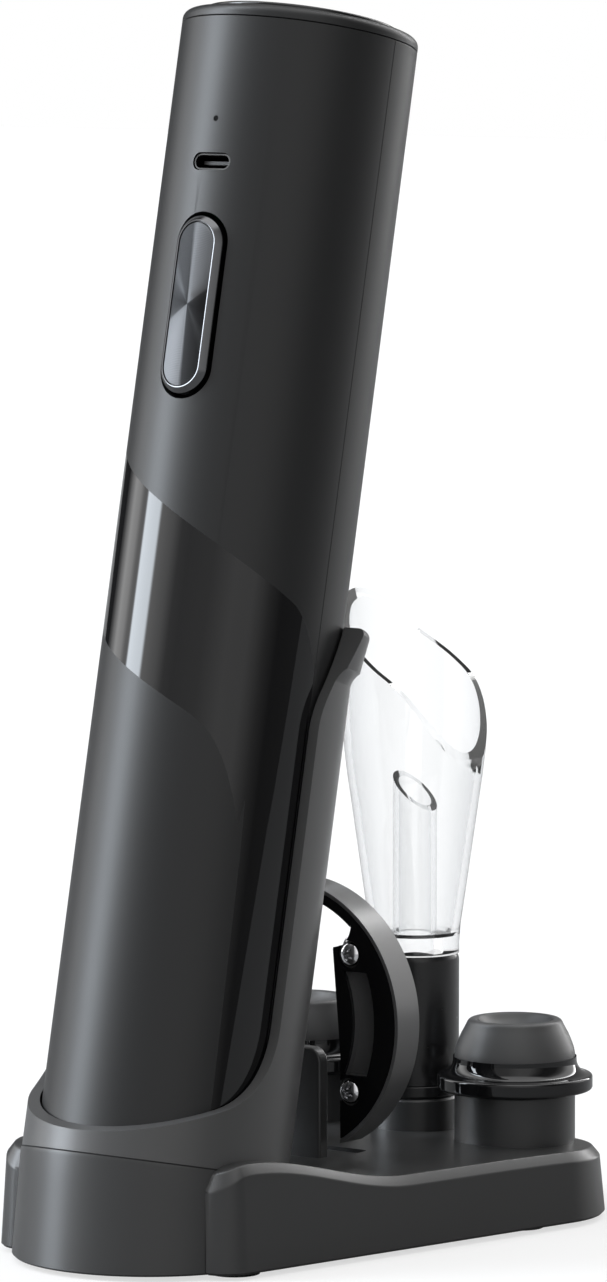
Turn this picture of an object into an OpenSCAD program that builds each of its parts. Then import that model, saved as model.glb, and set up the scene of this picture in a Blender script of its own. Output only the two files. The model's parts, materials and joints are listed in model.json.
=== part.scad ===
// Electric wine opener on its stand, with a pourer, two vacuum stoppers and a foil cutter.
// The table is z = 0 and the front is -Y. The origin is the middle of the footprint.

/* [Opener] */
// Radius of the opener's body
body_r = 24; // [22:0.5:26]
// Angle at which the opener leans back
lean = 12.2; // [8:0.1:14]
// Distance of the body's lower end from the table, along its axis
nose_s = 9.5; // [9:0.1:12]
// Distance of the seam under the top cap from the table, along the axis
cap_s = 248.2; // [240:0.2:260]
// Wall of the two body shells
shell_wall = 2; // [1.6:0.1:2.4]
// Depth of the glossy inlay in the front shell
inlay_depth = 0.8; // [0.5:0.1:1]

/* [Button] */
// Place of the button's centre along the axis
button_s = 189.4; // [180:0.2:192]
// Length of the rocker button
button_len = 36; // [30:0.5:37]
// Width of the rocker button
button_w = 11.4; // [9:0.2:12]
// Gap between the button and its well
button_gap = 0.65; // [0.5:0.05:1]
// Tilt of the rocker each way
button_tilt = 2.5; // [1:0.1:3]

/* [Drive] */
// Tooth module of the planetary stage
tooth_module = 0.75; // [0.75:0.05:0.8]
// Teeth on the sun pinion
sun_teeth = 8; // [8:1:8]
// Teeth on each planet
planet_teeth = 16; // [16:1:16]
// Teeth inside the ring
ring_teeth = 40; // [40:1:40]
// Radius of the worm's helix, to the middle of its wire
worm_r = 3.5; // [3:0.1:4]
// Rise of the worm in one turn
worm_pitch = 9.5; // [8:0.5:11]

/* [Stand] */
// Depth of the stand from front to back
stand_depth = 130.6; // [130:0.2:132]
// Rear corner radius of the stand
rear_corner_r = 20; // [16:0.5:22]
// Height of the stand's walls behind the holder
deck_z = 15.6; // [15:0.1:16.5]
// Height of the two side wings beside the holder
wing_z = 22.5; // [20:0.5:24]
// Height of the rubber feet under the walls
foot_z = 1; // [0.8:0.1:1.4]
// Outer radius of the holder cup
holder_r = 26.8; // [26.6:0.1:27]
// Height of the holder's back panel along the axis
panel_s = 130.5; // [120:0.5:140]

/* [Pourer] */
// Distance of the pourer's axis behind the opener's foot
pourer_y = 92.5; // [92:0.1:93]
// Radius of the clear spout at its widest
spout_r = 15.2; // [14:0.1:15.4]
// Radius of the stem that goes in a bottle's neck
stem_r = 9.3; // [9:0.1:9.5]

/* [Stoppers] */
// Distance of each stopper from the middle
stopper_x = 27.3; // [27:0.1:28]
// Distance of the stoppers behind the opener's foot
stopper_y = 90.2; // [89:0.1:91]
// Radius of a stopper's collar
collar_r = 16.1; // [15:0.1:16.3]
// Travel of a stopper's pump cap
pump_travel = 3; // [2:0.1:3.5]

/* [Foil cutter] */
// Outer radius of the cutter
cutter_r = 28.5; // [27:0.1:29]
// Thickness of the cutter
cutter_t = 7.4; // [7:0.1:8]
// Distance of the cutter's face behind the opener's foot
cutter_y = 47.5; // [47.4:0.1:48]
// Radius of a cutting wheel
wheel_r = 4.4; // [4:0.1:4.6]

/* [Hidden] */
$fn = 96;

// Stand: the plan is a trapezoid with round corners, measured from the opener's foot.
cup_ground_r = 27.9;
cup_ground_y = 2.9;
cup_seam_r = 27;
cup_seam_s = 19.4;
foot_y = cup_ground_y - cup_ground_r + stand_depth;
axis_y = -(cup_ground_y - cup_ground_r + foot_y) / 2;
side_x = 32;
side_slope = 0.2025;
side_angle = atan(side_slope);
front_y = -11;
front_corner_r = 7;
wall = 2.4;
draft = 1.1;
chamfer = 1.6;
front_corner = corner(front_y + front_corner_r, front_corner_r);
rear_corner = corner(foot_y - rear_corner_r, rear_corner_r);
socket_r = 12.5;
socket_bore_r = 10.2;
socket_z = 25.8;
peg_shoulder_z = 22;
peg_r = 5.4;
peg_z = 34;
boss_places = [[31, 30], [38, 58]];
foot_places = [[24, -1], [38.5, 76]];
holder_bore_r = body_r + 0.45;
holder_foot_r = 25.4;
holder_foot_s = 13;
cup_floor_s = nose_s - 0.2;
cup_floor_t = 1.5;
cup_hollow_r = 21.5;
cup_wall = 2.6;
rest_w = 22.4;
rest_t = 3;
rest_z = 38.2;
rest_corner_r = 3;
rest_gap = 0.3;
pocket = [26.4, 11.2, 0.8];
plate_z = foot_z + 1.6;
foot_r = 5;
screw_r = 1.4;
screw_head_r = 2.7;

// Opener, by distance along its axis
seat_s = 44;
gearbox_s = 107;
gearbox_wall_s = 111;
ring_s = 119.5;
cover_s = 129;
motor_s = 133;
end_cap_s = 163;
chassis_s = 168.8;
board_y = -13;
board_t = 1.2;
led_s = 227.2;
led_r = 0.6;
usb_s = 218.5;
usb_w = 9.3;
usb_h = 3.6;
button_end_gap = 0.9;
guide_r = 15.6;
cap_top_s = 250.9;
disc_top_s = 252;
disc_r = 19.8;
inner_r = body_r - shell_wall;
face_r = body_r + 1.6;
pivot_y = -20.3;
pivot_r = 0.8;
switch_step = 12;
switch_h = 4.5;
switch_gap = switch_step * sin(button_tilt) + 0.08;
cell_r = 9.2;
cell_y = 6;
cell_s = 174.6;
cell_len = 65;
board_holes = [[11, 181], [11, 231]];

// Drive
sun_pitch_r = tooth_module * sun_teeth / 2;
planet_pitch_r = tooth_module * planet_teeth / 2;
planet_orbit = sun_pitch_r + planet_pitch_r;
gear_s = 120.5;
gear_t = 7;
pin_r = 1.2;
run_gap = 0.06;
shaft_r = 4;
motor_shaft_r = 1.15;
hub_s = 96;
worm_tip_s = 34;
wire_r = 1.2;

// Stoppers and pourer, by height
collar_floor_z = socket_z + 1.7;
cap_r = 12.5;
cap_z = collar_floor_z + pump_travel + 0.5;
shoulder_r = 9.9;
cap_top_z = 40.5;
plug_z = 5.6;
plug_r = 9.9;
valve_r = 2.2;
stem_top_z = 51.8;
spout_floor_z = 55.6;
spout_hole_r = 4;

// Cutter, measured from its own centre in its own face
cutter_c = [0, cutter_y, 43.4];
bow = 2.9;
jaw_top = 14.9;
jaw_x = [13.9, 12];
jaw_knee = -6.5;
notch = [11.6, 20.2];
notch_r = 4.9;
wheel_at = [16, 14.1];
wheel_t = 1.3;
wheel_y = 3.2;
grip_x = -8;
grip_r = [25, 30];
grip_half = 10.7;
face_t = 1;
face_inset = 0.6;

// Middle of a plan corner of radius r whose circle is at distance y behind the opener's foot
function corner(y, r) = [side_x + side_slope * y - r / cos(side_angle), y];
// Points of a circular arc in the plane
function arc(c, r, a0, a1, n) =
    [for (i = [0:n]) let (a = a0 + (a1 - a0) * i / n) c + r * [cos(a), sin(a)]];
// Right half of the stand's plan, front to back, moved inwards by d
function half_plan(d, n = 14) = let (
    front = arc(front_corner, front_corner_r - d, -84, -side_angle, 6),
    rear = arc(rear_corner, rear_corner_r - d, -side_angle, 84, 10),
    a = front[6], b = rear[0])
    concat(front, [for (i = [1:n - 1]) a + (b - a) * i / n], rear);
// Height of the stand's top at distance y behind the opener's foot
function deck(y) = y < -3 ? wing_z - 9 + sqrt(max(81 - pow(y + 3, 2), 1))
    : y < 40 ? deck_z + (wing_z - deck_z) * (1 + cos(180 * (y + 3) / 43)) / 2
    : y < 60 ? deck_z : deck_z - 1.1 * pow((y - 60) / 44, 2);
// A ring of the stand's skin: the half plan as 3-D points at height deck - drop, or at the fixed height z
function ring(d, drop, z) = [for (p = half_plan(d)) [p.x, p.y, z == undef ? deck(p.y) - drop : z]];

// Closed skin through rings of right-half points that are mirrored in the plane x = 0
module mirrored_skin(rings) {
    n = len(rings[0]);
    m = len(rings);
    pts = [for (r = rings) each concat(r, [for (p = r) [-p.x, p.y, p.z]])];
    walls = [for (k = [0:m - 2], i = [0:n - 2]) each let (a = 2 * n * k + i, b = a + 2 * n) [
        [a, a + 1, b + 1], [a, b + 1, b], [a + n + 1, a + n, b + n], [a + n + 1, b + n, b + n + 1]]];
    ends = [for (k = [0:m - 2]) each [
        [2 * n * k + n, 2 * n * k, 2 * n * (k + 1), 2 * n * (k + 1) + n],
        [2 * n * k + n - 1, 2 * n * k + 2 * n - 1, 2 * n * (k + 1) + 2 * n - 1, 2 * n * (k + 1) + n - 1]]];
    low = [for (i = [0:n - 2]) [i, n + i, n + i + 1, i + 1]];
    t = 2 * n * (m - 1);
    high = [for (i = [0:n - 2]) [t + i, t + i + 1, t + n + i + 1, t + n + i]];
    polyhedron([for (p = pts) [p.x, p.y + axis_y, p.z]],
        [for (f = concat(walls, ends, low, high)) [for (i = [len(f) - 1:-1:0]) f[i]]]);
}

// Puts children on the opener's axis: +Z runs up the axis and -Y faces the front
module leaning() {
    translate([0, axis_y, 0]) rotate([-lean, 0, 0]) children();
}

// Puts children at a place measured from the opener's foot
module placed(x, y, z = 0) {
    translate([x, y + axis_y, z]) children();
}

module disc(r, z0, z1) {
    translate([0, 0, z0]) cylinder(r = r, h = z1 - z0);
}

module pipe(r_out, r_in, z0, z1) {
    difference() {
        disc(r_out, z0, z1);
        disc(r_in, z0 - 1, z1 + 1);
    }
}

// Solid with round ends along Z, lying in the XZ plane and running along Y
module obround(w, l, y0, y1, z) {
    for (k = [-1, 1]) translate([0, y1, z + k * (l - w) / 2]) rotate([90, 0, 0]) cylinder(d = w, h = y1 - y0);
    translate([-w / 2, y0, z - (l - w) / 2]) cube([w, y1 - y0, l - w]);
}

// The same with its round ends along X
module flat_obround(w, h, y0, y1, z) {
    for (k = [-1, 1]) translate([k * (w - h) / 2, y1, z]) rotate([90, 0, 0]) cylinder(d = h, h = y1 - y0);
    translate([-(w - h) / 2, y0, z - h / 2]) cube([w - h, y1 - y0, h]);
}

module mirrored_x() {
    children();
    mirror([1, 0, 0]) children();
}

// ---- Stand ----

module cup_outside() {
    hull() {
        placed(0, cup_ground_y, foot_z) cylinder(r = cup_ground_r, h = 0.1, $fn = 72);
        leaning() disc(cup_seam_r, cup_seam_s - 0.1, cup_seam_s);
    }
}

module skin_outside() {
    mirrored_skin([ring(0, 0, foot_z), ring(draft, chamfer + 0.3, undef), ring(draft + chamfer, 0, undef)]);
}

module skin_inside() {
    mirrored_skin([ring(wall, 0, foot_z - 1), ring(wall, 0, plate_z),
        ring(wall + draft, wall + chamfer, undef), ring(wall + draft + chamfer, wall, undef)]);
}

module cutter_rest() {
    placed(0, cutter_y - rest_gap - rest_t, 0) {
        translate([-rest_w / 2, 0, deck_z - 2]) cube([rest_w, rest_t, rest_z - rest_corner_r - deck_z + 2]);
        translate([-rest_w / 2 + rest_corner_r, 0, deck_z])
            cube([rest_w - 2 * rest_corner_r, rest_t, rest_z - deck_z]);
        for (k = [-1, 1]) translate([k * (rest_w / 2 - rest_corner_r), rest_t, rest_z - rest_corner_r])
            rotate([90, 0, 0]) cylinder(r = rest_corner_r, h = rest_t);
    }
}

// Plan of the plate that closes the stand from below
module plate_plan() {
    half = half_plan(wall + 0.1, 2);
    polygon(concat(half, [for (i = [len(half) - 1:-1:0]) [-half[i].x, half[i].y]]));
    translate([0, cup_ground_y]) circle(r = cup_ground_r - 2);
}

module stand_skin() {
    difference() {
        skin_outside();
        difference() {
            skin_inside();
            leaning() disc(cup_ground_r + cup_wall, -30, 60);
            mirrored_x() for (p = boss_places) placed(p.x, p.y) cylinder(r = 3, h = 40);
        }
        leaning() disc(holder_r + 0.05, -30, 60);
    }
}

module base_shell() {
    color("#3a3b3d") difference() {
        union() {
            stand_skin();
            cup_outside();
            mirrored_x() placed(stopper_x, stopper_y) disc(socket_r, plate_z, socket_z);
            placed(0, pourer_y) disc(stem_r, plate_z, peg_shoulder_z);
            placed(0, pourer_y) disc(peg_r, peg_shoulder_z, peg_z);
            cutter_rest();
        }
        leaning() {
            disc(cup_hollow_r, -30, cup_floor_s - cup_floor_t);
            disc(holder_bore_r, cup_floor_s, holder_foot_s + 1);
            disc(holder_foot_r + 0.05, holder_foot_s, cup_seam_s + 1);
        }
        mirrored_x() placed(stopper_x, stopper_y) disc(socket_bore_r, plate_z + 2, socket_z + 1);
        mirrored_x() for (p = boss_places) placed(p.x, p.y) disc(screw_r, 0, plate_z + 8);
        placed(-pocket.x / 2, cutter_y - rest_gap, deck_z - pocket.z) cube([pocket.x, pocket.y, 5]);
        placed(0, 0, -1) linear_extrude(plate_z + 1) plate_plan();
    }
}

// Side view of what is cut away from the holder: (distance behind the axis, distance along it)
holder_cut = concat([[-40, 17.7], [-26.8, 23.9]], arc([-20, 49.2], 20, -65, 0, 12),
    arc([16, 108], 16, 180, 150, 8), [[13.4, 135.5], [13.4, 400], [-40, 400]]);

module holder_sleeve() {
    lip_r = holder_r + 2.6;
    color("#56575a") difference() {
        leaning() {
            disc(holder_foot_r, holder_foot_s, cup_seam_s);
            disc(holder_r, cup_seam_s, panel_s - 12);
            rotate_extrude() polygon(concat([[holder_bore_r - 1, panel_s - 12.1], [holder_r, panel_s - 12.1]],
                arc([holder_r + 4.4, panel_s - 12], 4.4, 180, 130, 4),
                arc([lip_r - 1.6, panel_s - 1.6], 1.6, 0, 90, 5), [[holder_bore_r - 1, panel_s]]));
        }
        leaning() disc(holder_bore_r, 0, 400);
        leaning() translate([50, 0, 0]) rotate([90, 0, -90]) linear_extrude(100)
            polygon([for (p = holder_cut) [-p.x, p.y]]);
    }
}

module base_bottom_plate() {
    color("#2c2d2f") difference() {
        placed(0, 0, foot_z) linear_extrude(plate_z - foot_z) plate_plan();
        mirrored_x() for (p = boss_places) placed(p.x, p.y) {
            disc(screw_r + 0.1, 0, 5);
            disc(screw_head_r + 0.2, 0, foot_z + 1);
        }
        mirrored_x() for (p = foot_places) placed(p.x, p.y) disc(foot_r + 0.05, 0, foot_z + 0.5);
    }
}

module base_feet() {
    color("#1d1e1f") mirrored_x() for (p = foot_places) placed(p.x, p.y) disc(foot_r, 0, foot_z + 0.5);
}

module base_screws() {
    color("silver") mirrored_x() for (p = boss_places) placed(p.x, p.y) difference() {
        union() {
            disc(screw_head_r, foot_z - 0.2, foot_z + 1);
            disc(screw_r - 0.05, foot_z + 1, plate_z + 7);
        }
        for (a = [0, 90]) rotate(a) translate([-1.2, -0.25, 0]) cube([2.4, 0.5, foot_z + 0.4]);
    }
}

// ---- Opener body ----

// Region of the glossy inlay as (x, s) points: its edges follow the angle round the body
module inlay_region() {
    function at(a, s) = [body_r * sin(a), s];
    top_edge = [for (a = [-84:6:90]) at(a, 149 - 0.23 * a - 8 * pow(max(a - 70, 0) / 20, 2))];
    low_edge = [for (a = [56:-4:-84]) at(a, 113.8 - 0.21 * a - 0.00037 * pow(max(a - 22, 0), 3))];
    rotate([90, 0, 0]) linear_extrude(body_r + 5) polygon(concat([[-30, 172]], top_edge,
        [[30, 118], [30, 0], at(61, 0), at(61, 34), at(60, 62)], low_edge, [[-30, 134]]));
}

module rear_half() {
    translate([-50, 0, 0]) cube([100, 50, 400]);
}

module button_well() {
    obround(button_w + 2 * button_gap, button_len + 2 * button_end_gap,
        -body_r - 1, -body_r + shell_wall + 1.5, button_s);
}

module front_shell() {
    color("#38393b") leaning() difference() {
        union() {
            difference() {
                pipe(body_r, inner_r, nose_s, cap_s);
                rear_half();
                button_well();
            }
            mirrored_x() translate([button_w / 2 + 1, -body_r + 1.6, button_s - 2.2]) cube([1.4, 3.4, 4.4]);
        }
        intersection() {
            pipe(body_r + 1, body_r - inlay_depth, 0, 300);
            inlay_region();
        }
        translate([-10, pivot_y, button_s]) rotate([0, 90, 0]) cylinder(r = pivot_r + run_gap, h = 20);
        flat_obround(usb_w, usb_h, -body_r - 1, -body_r + 4, usb_s);
        translate([0, -body_r + 4, led_s]) rotate([90, 0, 0]) cylinder(r = led_r, h = 5);
    }
}

module rear_shell() {
    color("#414244") leaning() intersection() {
        pipe(body_r, inner_r, nose_s, cap_s);
        rear_half();
    }
}

module gloss_inlay() {
    color("#0b0c0e") leaning() intersection() {
        pipe(body_r, body_r - inlay_depth, nose_s, cap_s);
        inlay_region();
    }
}

module top_cap() {
    edge = 1.8;
    color("#3a3b3d") leaning() rotate_extrude() polygon(concat(
        [[0, cap_s], [inner_r - 2, cap_s], [inner_r - 2, cap_s - 3.7], [inner_r - 0.05, cap_s - 3.7],
            [inner_r - 0.05, cap_s], [body_r, cap_s]],
        arc([body_r - edge, cap_top_s - edge], edge, 0, 90, 6),
        [[disc_r + 0.05, cap_top_s], [disc_r + 0.05, cap_top_s - 1], [0, cap_top_s - 1]]));
}

module top_disc() {
    edge = 0.5;
    color("#101113") leaning() rotate_extrude() polygon(concat([[0, cap_top_s - 1], [disc_r, cap_top_s - 1]],
        arc([disc_r - edge, disc_top_s - edge], edge, 0, 90, 4), [[0, disc_top_s]]));
}

module bottle_guide() {
    rim_t = 2.5;
    out_r = guide_r + 2;
    rim_r = inner_r - 0.1;
    hole_r = 12;
    color("#1b1c1e") leaning() rotate_extrude() polygon([[out_r, nose_s], [rim_r, nose_s],
        [rim_r, nose_s + rim_t], [out_r, nose_s + rim_t], [out_r, seat_s], [rim_r, seat_s],
        [rim_r, seat_s + rim_t], [hole_r, seat_s + rim_t], [hole_r, seat_s], [guide_r, seat_s],
        [guide_r, nose_s + 3]]);
}

module cork_tube() {
    color("#26272a") leaning() pipe(15, 13, seat_s + 2.5, gearbox_s);
}

// Puts children at the board's four holes, with +Z to the front
module board_hole_places() {
    for (p = board_holes, k = [-1, 1]) translate([k * p.x, board_y, p.y]) rotate([90, 0, 0]) children();
}

module inner_chassis() {
    back_y = board_y + 1.6;
    color("#2f5f8f") leaning() difference() {
        union() {
            disc(inner_r - 0.2, chassis_s, chassis_s + 2);
            pipe(14.2, 12.3, end_cap_s - 5, chassis_s);
            translate([-18, back_y, chassis_s]) cube([36, 2, 71]);
            for (s = [184, 226]) translate([-12, back_y, s]) cube([24, 10, 4]);
            translate([-8, back_y, cell_s + cell_len + 0.6]) cube([16, 18, 1.6]);
            board_hole_places() disc(2.2, -3, 0);
        }
        translate([0, cell_y, 0]) disc(cell_r + 0.1, cell_s - 0.7, cell_s + cell_len + 0.5);
        board_hole_places() disc(0.95, -3, 1);
    }
}

module battery_cell() {
    color("#3fa46a") leaning() translate([0, cell_y, 0]) disc(cell_r, cell_s, cell_s + cell_len);
}

module battery_tabs() {
    color("silver") leaning() for (s = [cell_s - 0.4, cell_s + cell_len]) translate([-4, cell_y - 4, s])
        cube([8, 8, 0.4]);
}

module main_board() {
    color("#1f6b45") leaning() difference() {
        translate([-14.5, board_y - board_t, 177]) cube([29, board_t, 57]);
        board_hole_places() disc(1.1, -1, 3);
    }
}

module board_screws() {
    color("silver") leaning() board_hole_places() {
        disc(0.9, -2.4, board_t);
        disc(1.9, board_t, board_t + 1.2);
    }
}

module usb_receptacle() {
    color("silver") leaning() difference() {
        flat_obround(usb_w - 0.36, usb_h - 0.34, -body_r + 0.7, board_y - board_t, usb_s);
        flat_obround(usb_w - 0.96, usb_h - 0.94, -body_r, board_y - board_t - 1, usb_s);
    }
}

module usb_tongue() {
    front = -body_r + 2.4;
    color("#202020") leaning() translate([-3.3, front, usb_s - 0.35])
        cube([6.6, board_y - board_t - 1 - front, 0.7]);
}

module led_light_pipe() {
    color("#dfe6ea") leaning() translate([0, board_y - board_t, led_s]) rotate([90, 0, 0]) {
        disc(1.5, 0, 2);
        disc(led_r - 0.03, 2, body_r + board_y - board_t - 0.05);
    }
}

// Puts children at the two switches under the button, with +Z to the front
module switch_places() {
    for (k = [-1, 1]) translate([0, board_y - board_t, button_s + k * switch_step])
        rotate([90, 0, 0]) children();
}

module tact_switches() {
    color("#8a8f94") leaning() switch_places() {
        translate([-3, -3, 0]) cube([6, 6, 3.4]);
        disc(1.6, 3.4, switch_h);
    }
}

module button_cap() {
    color("#17181a") leaning() difference() {
        union() {
            difference() {
                intersection() {
                    obround(button_w, button_len, -face_r - 1, -body_r + 4.4, button_s);
                    disc(face_r, 0, 300);
                }
                obround(button_w - 2.8, button_len - 2.8, -face_r + 2.6, 0, button_s);
            }
            switch_places() disc(1.6, switch_h + switch_gap, face_r + board_y - board_t - 1);
            translate([-8, pivot_y, button_s]) rotate([0, 90, 0]) cylinder(r = pivot_r, h = 16);
        }
        button_face_region();
    }
}

module button_face_region() {
    intersection() {
        pipe(face_r + 1, face_r - 0.5, 0, 300);
        obround(button_w - 1.6, button_len - 1.6, -face_r - 1, -body_r + 4, button_s);
    }
}

module button_face() {
    color("#8d9094") leaning() intersection() {
        button_face_region();
        disc(face_r, 0, 300);
    }
}

// ---- Drive ----

// Points of a gear's outline; for an inside gear, out is -1
function gear_points(teeth, turn, out = 1) = let (
    r = tooth_module * teeth / 2,
    tip = r + out * 0.8 * tooth_module,
    root = r - out * 1.1 * tooth_module,
    step = 180 * tooth_module / r)
    [for (i = [0:teeth - 1], c = [[root, -0.28], [tip, -0.11], [tip, 0.11], [root, 0.28]])
        c[0] * [cos(turn + i * 360 / teeth + c[1] * step), sin(turn + i * 360 / teeth + c[1] * step)]];

// Turn that puts a planet at angle a in mesh with a sun that has a tooth at angle 0
function planet_turn(a) =
    a + (a % (360 / sun_teeth)) * sun_teeth / planet_teeth + 180 + 180 / planet_teeth;

module motor_can() {
    color("#b9bcc0") leaning() difference() {
        union() {
            disc(12.2, motor_s, end_cap_s);
            disc(3.5, motor_s - 2, motor_s);
        }
        disc(11.3, motor_s + 1, end_cap_s + 1);
        disc(motor_shaft_r + run_gap, motor_s - 3, end_cap_s);
    }
}

module motor_end_cap() {
    color("#e4e2da") leaning() difference() {
        union() {
            disc(12.2, end_cap_s, end_cap_s + 3.5);
            pipe(11.2, 9.5, end_cap_s - 3, end_cap_s);
        }
        disc(motor_shaft_r + run_gap, end_cap_s - 1, end_cap_s + 2.6);
    }
}

module motor_magnets() {
    color("#4b4b4f") leaning() difference() {
        pipe(11.25, 8.4, motor_s + 6, motor_s + 24);
        translate([-3, -20, 0]) cube([6, 40, 300]);
    }
}

module gearbox_housing() {
    color("#d8d4c6") leaning() difference() {
        union() {
            disc(inner_r - 0.1, gearbox_s, gearbox_wall_s);
            pipe(18.5, 16.6, gearbox_wall_s, ring_s);
            translate([0, 0, ring_s]) linear_extrude(cover_s - ring_s) difference() {
                circle(r = 18.5);
                polygon(gear_points(ring_teeth, 0, -1));
            }
        }
        disc(6, gearbox_s - 1, gearbox_wall_s + 1);
    }
}

module gearbox_cover() {
    color("#a9adb1") leaning() difference() {
        disc(18.5, cover_s, motor_s);
        disc(3.6, motor_s - 2.1, motor_s + 1);
        disc(2.4, cover_s - 1, motor_s);
    }
}

module output_bush() {
    color("#b08d4a") leaning() difference() {
        union() {
            disc(6, gearbox_s, gearbox_wall_s);
            disc(7.5, gearbox_wall_s, gearbox_wall_s + 1);
        }
        disc(shaft_r + run_gap, 0, 300);
    }
}

// Closed tube of n sides through points p, where each has its own side directions u, v and radius r
module swept(p, u, v, r, n) {
    m = len(p);
    pts = [for (i = [0:m - 1], j = [0:n - 1]) let (a = 360 * j / n)
        p[i] + r[i] * (cos(a) * u[i] + sin(a) * v[i])];
    walls = [for (i = [0:m - 2], j = [0:n - 1]) each let (a = i * n + j, b = i * n + (j + 1) % n)
        [[a, b + n, a + n], [a, b, b + n]]];
    polyhedron(pts, concat(walls, [[for (j = [n - 1:-1:0]) j]], [[for (j = [0:n - 1]) (m - 1) * n + j]]));
}

// A right-hand helix round the Z axis between two heights; radius and wire are functions of the height
module helix(z0, z1, pitch, steps, n, radius, wire) {
    zs = [for (i = [0:steps]) z0 + (z1 - z0) * i / steps];
    t = [for (z = zs) 360 * (z - z1) / pitch];
    swept([for (i = [0:steps]) let (r = radius(zs[i])) [r * cos(t[i]), r * sin(t[i]), zs[i]]],
        [for (a = t) [cos(a), sin(a), 0]], [for (a = t) [0, 0, 1]], [for (z = zs) wire(z)], n);
}

module worm() {
    point = 6;
    root = 5;
    color("silver") leaning() helix(worm_tip_s, hub_s, worm_pitch, 120, 8,
        function (z) worm_r * sqrt(max(0, 1 - pow(max(0, z - hub_s + root) / root, 2))),
        function (z) wire_r * (0.15 + 0.85 * min(1, (z - worm_tip_s) / point)));
}

module carrier() {
    color("#9a9ea3") leaning() difference() {
        union() {
            disc(shaft_r, hub_s, 113);
            disc(11.8, 113, 117);
            for (a = [0, 120, 240]) rotate(a) translate([planet_orbit, 0, 0]) disc(2.4, 117, gear_s - 0.2);
        }
        for (a = [0, 120, 240]) rotate(a) translate([planet_orbit, 0, 0]) disc(pin_r, 112, 200);
    }
}

module planet_pins() {
    color("silver") leaning() for (a = [0, 120, 240]) rotate(a) translate([planet_orbit, 0, 0])
        disc(pin_r, 113, gear_s + gear_t + 0.3);
}

module planet(a) {
    color("#e8e4d4") leaning() rotate(a) translate([planet_orbit, 0, gear_s]) difference() {
        linear_extrude(gear_t) polygon(gear_points(planet_teeth, planet_turn(a) - a));
        disc(pin_r + run_gap, -1, gear_t + 1);
    }
}

module planet_gear_a() {
    planet(0);
}

module planet_gear_b() {
    planet(120);
}

module planet_gear_c() {
    planet(240);
}

module rotor_core() {
    color("#8c4a2b") leaning() {
        disc(motor_shaft_r, gear_s - 0.5, end_cap_s + 2.4);
        disc(7.6, motor_s + 7, motor_s + 23);
        disc(3, motor_s + 23, motor_s + 27);
    }
}

module sun_pinion() {
    color("#c9a24b") leaning() translate([0, 0, gear_s]) difference() {
        linear_extrude(gear_t) polygon(gear_points(sun_teeth, 0));
        disc(motor_shaft_r, -1, gear_t + 1);
    }
}

// ---- Stoppers: drawn on the Z axis, then put in their sockets ----

module at_right() {
    placed(stopper_x, stopper_y) children();
}

module at_left() {
    placed(-stopper_x, stopper_y) children();
}

module stopper_collar() {
    edge = 0.6;
    color("#0d0e10") rotate_extrude() polygon(concat(
        [[valve_r + 0.05, socket_z], [collar_r - edge, socket_z]],
        arc([collar_r - edge, socket_z + edge], edge, -90, 0, 3),
        arc([collar_r - edge, socket_z + 3.2 - edge], edge, 0, 90, 3),
        arc([cap_r + 3.6, socket_z + 6.6], 3, 250, 180, 6),
        [[cap_r + 0.25, socket_z + 7], [cap_r + 0.25, collar_floor_z], [valve_r + 0.05, collar_floor_z]]));
}

module stopper_plug() {
    fins = 4;
    fin_step = 4.2;
    color("#222325") rotate_extrude() polygon(concat(
        [[valve_r + 0.05, socket_z], [valve_r + 0.05, plug_z], [plug_r - 1.6, plug_z]],
        [for (i = [0:fins - 1]) each let (z = plug_z + 1.6 + i * fin_step)
            [[plug_r - 0.9, z], [plug_r, z + 0.5], [plug_r, z + 1.3], [plug_r - 0.9, z + 2.2]]],
        [[plug_r - 0.9, socket_z]]));
}

module stopper_cap() {
    color("#3d3e41") rotate_extrude() polygon(concat(
        [[cap_r - 1.6, cap_z], [cap_r, cap_z], [cap_r, cap_z + 2.2]],
        arc([shoulder_r - 1.2, cap_top_z - 1.3], 1.3, 12, 90, 5),
        arc([0, cap_top_z + 23.8], 25.3, -70.2, -86.5, 5),
        [[1.5, cap_top_z - 2.8], [shoulder_r - 2, cap_top_z - 2.8], [cap_r - 1.6, cap_z + 2.2]]));
}

module stopper_spring() {
    color("silver") helix(collar_floor_z + 0.55, cap_top_z - 3.4, 2.4, 60, 6,
        function (z) 6.2, function (z) 0.45);
}

module stopper_valve() {
    color("#8f2f2b") {
        disc(valve_r, plug_z + 4, collar_floor_z);
        disc(4, collar_floor_z, collar_floor_z + 0.8);
    }
}

module stopper_right_collar() {
    at_right() stopper_collar();
}

module stopper_right_plug() {
    at_right() stopper_plug();
}

module stopper_right_cap() {
    at_right() stopper_cap();
}

module stopper_right_spring() {
    at_right() stopper_spring();
}

module stopper_right_valve() {
    at_right() stopper_valve();
}

module stopper_left_collar() {
    at_left() stopper_collar();
}

module stopper_left_plug() {
    at_left() stopper_plug();
}

module stopper_left_cap() {
    at_left() stopper_cap();
}

module stopper_left_spring() {
    at_left() stopper_spring();
}

module stopper_left_valve() {
    at_left() stopper_valve();
}

// ---- Pourer ----

// Outer radius of the spout against height, from its clear foot to its mouth
spout_side = [[stem_r, stem_top_z], [stem_r, 54], [spout_r - 4.3, 66.7], [spout_r - 1.9, 83.6],
    [spout_r - 0.5, 94], [spout_r, 104], [spout_r, 130]];
// Side view of the mouth's edge: (x, z), from the tall lip to the low one
mouth_edge = [[-16, 128.4], [-13.5, 125.2], [-8.8, 118.8], [-0.4, 112.6], [4, 109.5], [7.3, 106],
    [10.4, 101], [12.9, 95.4], [14.9, 89.4], [17, 82]];

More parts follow.
